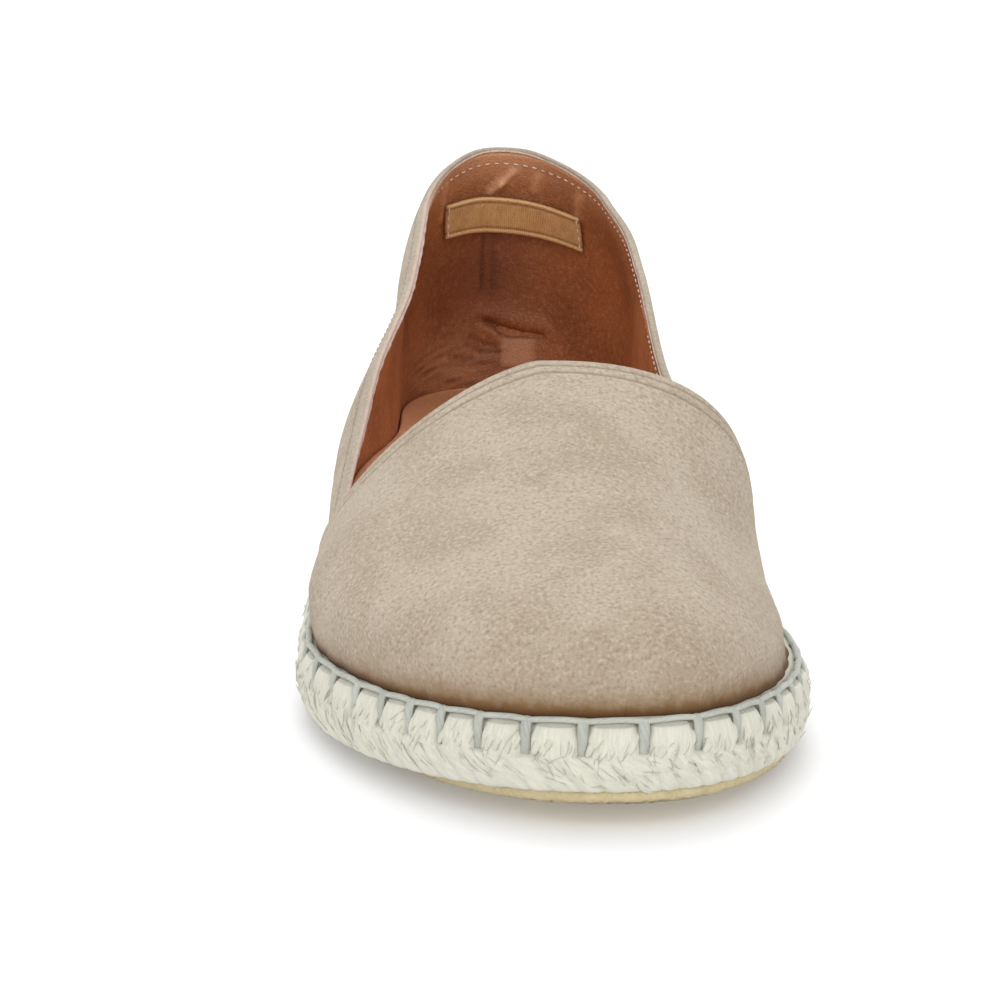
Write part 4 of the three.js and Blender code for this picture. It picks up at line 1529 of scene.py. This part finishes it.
s_rim, z_rim, side_rim = s[-1:], z[-1:], side[-1:]


def moved_in(s, offset):
    """Stations of the quarters drawn in from the back of the heel by an offset."""
    back = LEDGE + offset
    return back + (s_rim.max() - back) * ((s - LEDGE) / (s_rim.max() - LEDGE))


def over_fold(values, last):
    """Adds rows for the folded rim to the rows of a quarter."""
    return np.concatenate([values] + [np.broadcast_to(last, s_rim.shape)] * (RIM_RINGS - 1))


over_edge = []
for turn in rim_turn[1:]:
    offset = RIM * (1 - math.cos(turn))
    rim_z = z_rim + RIM * math.sin(turn)
    over_edge.append(wall(moved_in(s_rim, offset), rim_z, side_rim, offset))
folded = np.concatenate([quarter_outer, *over_edge])
inner_z = over_fold(z, z_rim) - INNER_DROP
inner_offset = np.concatenate([
    np.full(len(z), SUEDE_THICK), np.linspace(SUEDE_THICK, 2 * RIM, RIM_RINGS - 1)
])[:, None]
quarter_inner = wall(
    moved_in(over_fold(s, s_rim), inner_offset), inner_z,
    np.broadcast_to(side_rim, inner_z.shape), inner_offset,
)
# The marks: the rim, soil and painted shade at the foot, painted shade in the groove of the stitch
# row and in the back seam, and the raw pink edge of the fold.
rim_mark = over_fold(0.3 * (1 - smooth((drop - 0.6) / 1.2)), 0.35)
foot_mark = over_fold(0.75 * np.exp(-np.maximum(height, 0) / 2.2), 0)
groove_shade_mark = over_fold(0.6 * np.maximum(dip(drop - ROW_DROP, 0.3), back_seam), 0)
turned = np.concatenate([np.zeros(len(z)), smooth((rim_turn[1:] - RAW_TURN) / RAW_SOFT)])
raw_edge = turned[:, None] * smooth((RAW_X - folded[..., 0]) / RAW_FADE)
raw_edge = raw_edge * np.clip(0.75 + 0.3 * waves(folded, 1.3, 30), 0, 1)
points, faces = shell(folded, quarter_inner)
add_piece(
    "quarters",
    mesh_from("quarters", points, faces, marks={
        "rim": both(rim_mark), "foot": both(foot_mark), "groove": both(groove_shade_mark),
        "raw_edge": both(raw_edge),
    }),
    "upper", "upper", suede,
)
TOPLINE_PITCH = 2.1
row = QUARTER_ROWS + np.argmin(np.abs(near_top - ROW_DROP))
outside_stitches = every(
    quarter_outer[row], quarter_normal[row], TOPLINE_PITCH, STITCH_RISE, trim=3.5
)
add_row(
    "topline_stitches_outside", stitch_shape, outside_stitches, "upper", suede_thread,
    (1.5, 0.42, 0.34), Turn_Jitter=0.06, Size_Jitter=0.06, Seed=53,
)

# %% [markdown]
# ### Creases of the lining
# The lining has been pressed and folded behind the heel. Each main crease is given as a line
# across the back of the heel, with its depth and width: a trough where the leather is
# pinched, a ridge where it stands up. The list is in the shoe's own sizes, x across and z up,
# in millimetres.

# %% Creases, listed one by one
# The shade column paints shade into each trough and a highlight onto each ridge.
CREASES = chart(
    "x0 z0 x1 z1 depth width shade",
    (2.4, 36.8, 5.8, 34.6, 0.9, 0.8, 0.5), (5.8, 34.6, 8.4, 33.9, 1.4, 0.8, 1.0),
    (8.4, 33.9, 14.2, 33.4, 0.9, 0.7, 0.7), (1.6, 38.4, 14.0, 35.6, -0.7, 1.9, 0),
    (1.2, 35.6, 4.9, 33.8, -0.7, 0.8, -0.2), (4.9, 33.8, 5.3, 31.0, -0.5, 0.7, -0.1),
    (-0.8, 33.4, 1.3, 31.6, 0.45, 0.6, 0.3), (1.3, 31.6, 4.6, 31.0, 0.5, 0.5, 0.35),
    (-2.0, 31.8, 1.2, 30.0, 0.35, 0.5, 0.3), (1.2, 30.0, 5.2, 29.6, 0.35, 0.5, 0.3),
    (-6.0, 29.8, -1.0, 28.9, 0.25, 0.5, 0.25), (-9.5, 27.6, -2.0, 27.0, 0.25, 0.6, 0.2),
    (1.4, 58.0, 1.5, 44.0, 0.18, 0.5, 0.35), (3.9, 58.0, 3.8, 44.0, 0.18, 0.5, 0.3),
    (7.8, 71.2, 5.2, 68.6, -0.8, 0.9, -0.5), (5.2, 68.6, 2.8, 66.4, -0.9, 0.9, -0.5),
    (-7.6, 70.0, -8.0, 66.0, -0.5, 0.7, -0.2), (-8.0, 65.2, -8.6, 61.0, -0.4, 0.6, -0.1),
    (21.6, 67.0, 21.4, 61.6, -0.6, 0.8, -0.3), (13.0, 70.2, 12.2, 67.0, -0.4, 0.9, -0.3),
)
PATCH_X, PATCH_Z = (6.0, 14.0), (26.0, 33.0)
HEEL_Y, HEEL_Y_FADE = 92, 14
print(len(CREASES["x0"]), "creases, troughs and ridges")


def at_heel(points):
    """1 on the back of the heel, fading to 0 on the sides."""
    return smooth((points[..., 1] - HEEL_Y) / HEEL_Y_FADE)


def crease_field(points):
    """Depth and shade of the listed creases at points of the lining's heel."""
    depth = np.zeros(points.shape[:-1])
    shade = np.zeros(points.shape[:-1])
    x, z = points[..., 0], points[..., 2]
    for k in range(len(CREASES["x0"])):
        line = {name: column[k] for name, column in CREASES.items()}
        dx, dz = line["x1"] - line["x0"], line["z1"] - line["z0"]
        along = ((x - line["x0"]) * dx + (z - line["z0"]) * dz) / (dx * dx + dz * dz)
        held = np.clip(along, 0, 1)
        away = np.hypot(x - line["x0"] - held * dx, z - line["z0"] - held * dz)
        form = dip(away, line["width"])
        depth += line["depth"] * form * at_heel(points)
        shade += line["shade"] * form * at_heel(points)
    return depth, shade


def patch_field(points):
    """The lighter, flatter patch of leather under the crease."""
    x, z = points[..., 0], points[..., 2]
    inside = smooth((x - PATCH_X[0]) / 0.4) * smooth((PATCH_X[1] - x) / 2.5)
    inside = inside * smooth((z - PATCH_Z[0]) / 1.0) * smooth((PATCH_Z[1] - z) / 0.5)
    return inside * at_heel(points)


# %% Quarter lining
LINING_TOP, LINING_THICK = 0.85, 0.65
LINING_COLUMNS, LINING_ROWS = 331, 96
LOW_X, LOW_Z, SHADE_X, SHADE_Z = -6, 27, 1, 47
CRACK_STRETCH, CRACK_DEPTH, PATCH_RAISE = np.array([0.3, 0.3, 1.0]), 0.16, 0.4
STRIP_DROP, STRIP_FADE = 2.2, 1.6

lining_drops = np.concatenate([np.arange(6.0, LINING_TOP, -0.4), [LINING_TOP + 0.12, LINING_TOP]])


def lining_face(offset):
    """One face of the lining, with the stations and heights of its points."""
    s, z, side = heel_grid(LINING_COLUMNS, lining_drops, LINING_ROWS, offset, 0.0)
    return wall(s, z, side, offset), s, z


lining_inner, s, z = lining_face(WALL)
lining_outer, _, _ = lining_face(WALL - LINING_THICK)
inward = -normals(lining_inner)
depth, shade = crease_field(lining_inner)
patch = patch_field(lining_inner)
low_heel = dip(lining_inner[..., 2] - LOW_Z, 7) * dip(lining_inner[..., 0] - LOW_X, 12)
low_heel = low_heel * at_heel(lining_inner)
cracks = waves(lining_inner * CRACK_STRETCH, 1.7, 21) * low_heel
move = 0.35 * waves(lining_inner, 22, 22) + 0.08 * waves(lining_inner, 5, 23)
move = move * smooth(s / 10) - depth + PATCH_RAISE * patch + CRACK_DEPTH * cracks
corner = 0.4 * dip(z - z[-1:], 0.18)
lining_inner = lining_inner + inward * (move - corner)[..., None]
points, faces = shell(lining_inner, lining_outer)

# The marks: painted shade in the folds, the cracks and the hollow; painted highlights on the crease
# ridges; lighter leather in the patch, the low heel and the lateral strip; and rubbed leather near
# the top line.
shadow = dip(lining_inner[..., 2] - SHADE_Z, 13) * dip(lining_inner[..., 0] - SHADE_X, 16)
shadow = 0.62 * shadow * at_heel(lining_inner)
shade_mark = np.clip(shade + shadow + 0.5 * np.maximum(cracks, 0), 0, 1)
bright = np.clip(-shade, 0, 1) + 0.6 * patch + 0.35 * low_heel * (1 - shade_mark)
below_top = top_height(s) - z
bright = bright + 0.5 * (1 - smooth(below_top / 11)) * dip(s, 40)
strip = 1 - smooth((below_top - STRIP_DROP) / STRIP_FADE)
bright = bright + 0.4 * strip * smooth((RAW_X - lining_inner[..., 0]) / RAW_FADE)
add_piece(
    "quarter_lining",
    mesh_from("quarter_lining", points, faces, marks={
        "painted_shade": both(shade_mark), "pale_and_highlight": both(np.clip(bright, 0, 1)),
    }),
    "upper", "insole", lining_leather,
)

# %% Vamp lining
rows = np.concatenate([[0.15, 0.3], np.arange(0.6, 4, 0.6)])
columns = np.linspace(-1, 1, 121)
inner, _, _ = vamp_rows(columns, WALL, rows, 40)
outer, _, _ = vamp_rows(columns, WALL - LINING_THICK, rows, 40)
inner = inner - normals(inner) * (0.2 * waves(inner, 20, 24))[..., None]
points, faces = shell(inner, outer)
add_piece(
    "vamp_lining", mesh_from("vamp_lining", points, faces), "upper", "insole", lining_leather
)


# %% Stitches and piping of the top line
LINE_POINTS, DROP_REACH, INSIDE_RISE = 900, 42, 0.16
PIPING_THIN, PIPING_SWELL, PIPING_MAP = 0.46, 0.74, 0.8
PIPING_OFFSET = 2 * RIM


def topline_path(offset, drop_at_heel, drop_at_side):
    """Line round the opening inside the top line, with the way out of the surface."""
    ease, s, side = round_heel(LINE_POINTS, offset)
    below = drop_at_side + (drop_at_heel - drop_at_side) * dip(s, DROP_REACH)
    z = top_height(s) - below
    rows = np.stack([wall(s, z + step, side, offset) for step in (-0.5, 0, 0.5)])
    return rows[1], -normals(rows)[1]


path, inward = topline_path(WALL, 3.2, 1.5)
inside_stitches = every(path, inward, TOPLINE_PITCH, INSIDE_RISE, trim=3)
add_row(
    "topline_stitches_inside", stitch_shape, inside_stitches, "upper", fine_thread,
    (1.15, 0.36, 0.32), Turn_Jitter=0.1, Size_Jitter=0.1, Seed=54,
)

path, inward = topline_path(PIPING_OFFSET, 0.5, 0.34)
swell = smooth((path[:, 1] + 10) / 30) * smooth((112 - path[:, 1]) / 40) * (path[:, 0] < 0)
uneven = 1 + 0.18 * waves(path, 1.6, 28) + 0.12 * waves(path, 3.4, 29)
piping_wide = (PIPING_THIN + PIPING_SWELL * swell) * uneven
upwards = np.broadcast_to([0, 0, 1.0], path.shape)
points, faces, uv = sweep(path, upwards, piping_wide, piping_wide, sides=8, closed=False)
uv[:, 0] *= PIPING_MAP
add_piece("topline_piping", mesh_from("piping", points, faces, uv), "upper", "upper", piping)


# %% [markdown]
# ## Inside the shoe
# A padded sock of light brown leather covers the insole board. It is a thin slab with the
# inside outline of the upper, a little dished where the heel and the ball press.

# %% Insole sock
SOCK_CLEAR, SOCK_COLUMNS = 0.15, 200
SOCK_CURL, CURL_S, CURL_REACH = 3.0, 84, 36
SOCK_ROUND, ROUND_RINGS, TOP_RINGS = 0.35, 7, 22
HEEL_PRESS, HEEL_PRESS_S, HEEL_PRESS_REACH = 0.7, 34, 34
BALL_PRESS, BALL_PRESS_S, BALL_PRESS_REACH = 0.6, 185, 44


def sock_ring(share, draw_in, height):
    """Ring of the sock, following the lining at its own height."""
    offset = WALL + SOCK_CLEAR + draw_in
    s, side = side_loop(SOCK_COLUMNS, LEDGE + offset)
    edge = wall(s, height(s, share), side, offset)
    spine = np.column_stack([middle(s), edge[:, 1]])
    return np.column_stack([spine + (edge[:, :2] - spine) * share, edge[:, 2]])


def sock_foot(s, share):
    """Underside of the sock."""
    return deck(s) + GAP


def sock_top(s):
    """Height of the sock's rim, which curls up the sides at the waist."""
    return deck(s) + GAP + INSOLE_THICK + SOCK_CURL * dip(s - CURL_S, CURL_REACH)


def pressed(s, share):
    """Top of the sock, dished where the heel and the ball of the foot press."""
    heel = HEEL_PRESS * dip(s - HEEL_PRESS_S, HEEL_PRESS_REACH)
    ball = BALL_PRESS * dip(s - BALL_PRESS_S, BALL_PRESS_REACH)
    depth = heel + ball + SOCK_CURL * dip(s - CURL_S, CURL_REACH)
    return sock_top(s) - depth * (1 - share**6)


def sock_edge(turn):
    """Ring of the sock's rounded edge, turn going from under it to over it."""
    rise = (1 + math.sin(turn)) / 2
    return sock_ring(
        1.0, SOCK_ROUND * (1 - math.cos(turn)),
        lambda s, share: sock_foot(s, share) * (1 - rise) + sock_top(s) * rise,
    )


sock_below = [sock_ring(share, 0, sock_foot) for share in (0, 0.5, 0.9)]
sock_side = [sock_edge(turn) for turn in np.linspace(-np.pi / 2, np.pi / 2, ROUND_RINGS)]
sock_above = [sock_ring(share, SOCK_ROUND, pressed) for share in np.linspace(0.97, 0, TOP_RINGS)]
sock = np.stack(sock_below + sock_side + sock_above)
sock[-TOP_RINGS:, :, 2] += 0.12 * waves(sock[-TOP_RINGS:], 16, 27)
add_piece(
    "insole_sock",
    mesh_from("sock", sock.reshape(-1, 3), grid_faces(*sock.shape[:2], loop=True)),
    "insole", "insole", insole_leather,
)

# %% [markdown]
# ### Pull tape
# A narrow woven tape is sewn across the inside of the heel and stands off it between its
# ends, so that a finger can pull the shoe on. It is a thin strip along a path, with a
# raised selvedge on each edge and a groove beside it.

# %% Pull tape
TAPE_HEIGHT, TAPE_THICK, TAPE_MID_Z = 8.2, 0.9, 61.6
TAPE_ARCH, TAPE_TILT, TAPE_OFF, TAPE_STAND = 2.1, 1.4, 0.45, 1.6
TAPE_END_LATERAL, TAPE_END_MEDIAL = 10.0, 13.0
TAPE_SQUARE_LATERAL, TAPE_SQUARE_MEDIAL = 0.10, 0.03
TAPE_ALONG, TAPE_ACROSS = 121, 41
SELVEDGE_IN, SELVEDGE_WIDE, SELVEDGE_RAISE = 0.45, 0.38, 0.2
CHANNEL_IN, CHANNEL_WIDE, CHANNEL_DEPTH = 1.25, 0.22, 0.22
TAPE_MARK = 0.8
END_STITCHES, END_AT = 4, 0.975


def tape_surface(u, share, depth):
    """Point of the tape: u along it, share up it, depth through it."""
    u, share, depth = np.broadcast_arrays(u, share, depth)
    side = by_side(u, -1.0, 1.0)
    square = by_side(u, TAPE_SQUARE_LATERAL, TAPE_SQUARE_MEDIAL)
    u = u * (0.985 + square * (share - 0.5))
    offset = WALL + TAPE_OFF + TAPE_STAND * (1 - u**4) + depth
    end = by_side(u, TAPE_END_LATERAL, TAPE_END_MEDIAL)
    s = LEDGE + offset + (end - LEDGE) * u**2
    z = TAPE_MID_Z + TAPE_HEIGHT * (share - 0.5) - TAPE_ARCH * u**2 - TAPE_TILT * u
    return wall(s, z, side, offset)


u = np.linspace(-1, 1, TAPE_ALONG)[:, None]
up = ((1 - np.cos(np.linspace(0, np.pi, TAPE_ACROSS))) / 2)[None]
from_edge = np.minimum(up, 1 - up) * TAPE_HEIGHT
selvedge = dip(from_edge - SELVEDGE_IN, SELVEDGE_WIDE)
channel = dip(from_edge - CHANNEL_IN, CHANNEL_WIDE)
softened = 0.3 * dip(from_edge, 0.25)
thick = TAPE_THICK + SELVEDGE_RAISE * selvedge - CHANNEL_DEPTH * channel - softened
front = tape_surface(u, up, thick)
rear = tape_surface(u, up, softened)
points, faces = shell(front, rear)
size = front.shape[:2]
run = np.broadcast_to(lengths(front[:, TAPE_ACROSS // 2])[:, None], size)
uv = np.stack([run, np.broadcast_to(up * TAPE_HEIGHT, size)], -1).reshape(-1, 2)
# The selvedge mark, and painted shade in the channel beside it.
raised, sunk = (np.broadcast_to(form * TAPE_MARK, size).ravel() for form in (selvedge, channel))
add_piece(
    "pull_tape",
    mesh_from("tape", points, faces, np.concatenate([uv, uv]), marks={
        "selvedge": np.tile(raised, 2), "groove": np.tile(sunk, 2),
    }),
    "heel_tape", "heel_tape", woven_tape,
)

share = np.tile(np.linspace(0.14, 0.86, END_STITCHES), 2)
u_end = np.repeat([-END_AT, END_AT], END_STITCHES)
places = tape_surface(u_end, share, TAPE_THICK + 0.05)
facing = unit(tape_surface(u_end, share, TAPE_THICK + 1) - places)
upwards = np.tile([0, 0, 1.0], (len(places), 1))
add_row(
    "tape_stitches", stitch_shape, (places, upwards, facing), "upper", fine_thread,
    (1.2, 0.38, 0.34), Turn_Jitter=0.15, Size_Jitter=0.1, Seed=55,
)

# %% [markdown]
# ## Setting, light and camera
# The shoe stands on a plain white floor that runs on behind it and glows faintly, so that
# it stays white. Light comes from all round, with a lamp above and behind for the shade
# under the toe, and a broad low one in front. The camera looks at the toe from a little
# above, from far off with a long lens.

# %% Floor and light
FLOOR_HALF, FLOOR_Z = 6.0, -0.05 * MM
FLOOR_GLOW, WORLD_LIGHT = 0.17, 0.87
corners = [
    (x * FLOOR_HALF, y * FLOOR_HALF, FLOOR_Z) for x, y in ((-1, -1), (1, -1), (1, 1), (-1, 1))
]
floor_mesh = bpy.data.meshes.new("floor")
floor_mesh.from_pydata(corners, [], [(0, 1, 2, 3)])
floor = bpy.data.objects.new("floor", floor_mesh)
scene.collection.objects.link(floor)
floor_paint, tree, shader, at = start("floor_paint", 0.9, Specular_IOR_Level=0.0)
shader.inputs["Base Color"].default_value = (0.8, 0.8, 0.81, 1)
shader.inputs["Emission Color"].default_value = (0.98, 0.98, 1.0, 1)
shader.inputs["Emission Strength"].default_value = FLOOR_GLOW
floor_mesh.materials.append(floor_paint)

world = bpy.data.worlds.new("studio")
world.use_nodes = True
sky = world.node_tree.nodes["Background"].inputs
sky["Color"].default_value = (1.0, 1.0, 1.0, 1)
sky["Strength"].default_value = WORLD_LIGHT
scene.world = world


def lamp(name, place_at, look_at, size, power):
    """Round lamp, its places and size in metres and its power in watts."""
    light = bpy.data.lights.new(name, "AREA")
    light.shape, light.size, light.energy = "DISK", size, power
    item = bpy.data.objects.new(name, light)
    way = Vector(look_at) - Vector(place_at)
    item.matrix_world = (
        Matrix.Translation(place_at) @ way.to_track_quat("-Z", "Y").to_matrix().to_4x4()
    )
    scene.collection.objects.link(item)


lamp("overhead", (-0.02, 0.72, 1.22), (0, -0.02, 0.03), 1.1, 8.3)
lamp("front_fill", (-0.16, -1.3, 0.55), (0, 0, 0.03), 2.2, 10.5)
scene.view_settings.view_transform = "Standard"

# %% Camera
DISTANCE, ELEVATION, AZIMUTH, ROLL = 1.0, 14.5, -4.8, 0.24
LENS, SENSOR = 182.2, 36.0
TARGET = Vector((-4.7, 0, 27.8)) * MM
up_angle, turn_angle, roll = (math.radians(v) for v in (ELEVATION, AZIMUTH, ROLL))
backwards = Vector((
    math.sin(turn_angle) * math.cos(up_angle), -math.cos(turn_angle) * math.cos(up_angle),
    math.sin(up_angle),
))
right = (-backwards).cross(Vector((0, 0, 1))).normalized()
upright = right.cross(-backwards)
right, upright = (
    right * math.cos(roll) + upright * math.sin(roll),
    upright * math.cos(roll) - right * math.sin(roll),
)
camera_data = bpy.data.cameras.new("camera")
camera_data.lens, camera_data.sensor_width = LENS, SENSOR
camera_data.clip_start, camera_data.clip_end = 0.05, 50
camera = bpy.data.objects.new("camera", camera_data)
axes = Matrix((right, upright, backwards)).transposed().to_4x4()
camera.matrix_world = Matrix.Translation(TARGET + backwards * DISTANCE) @ axes
scene.collection.objects.link(camera)
scene.camera = camera

# %% Hand over the pieces
for piece, node, slot in PIECES:
    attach(piece, BODY)
    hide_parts(node)
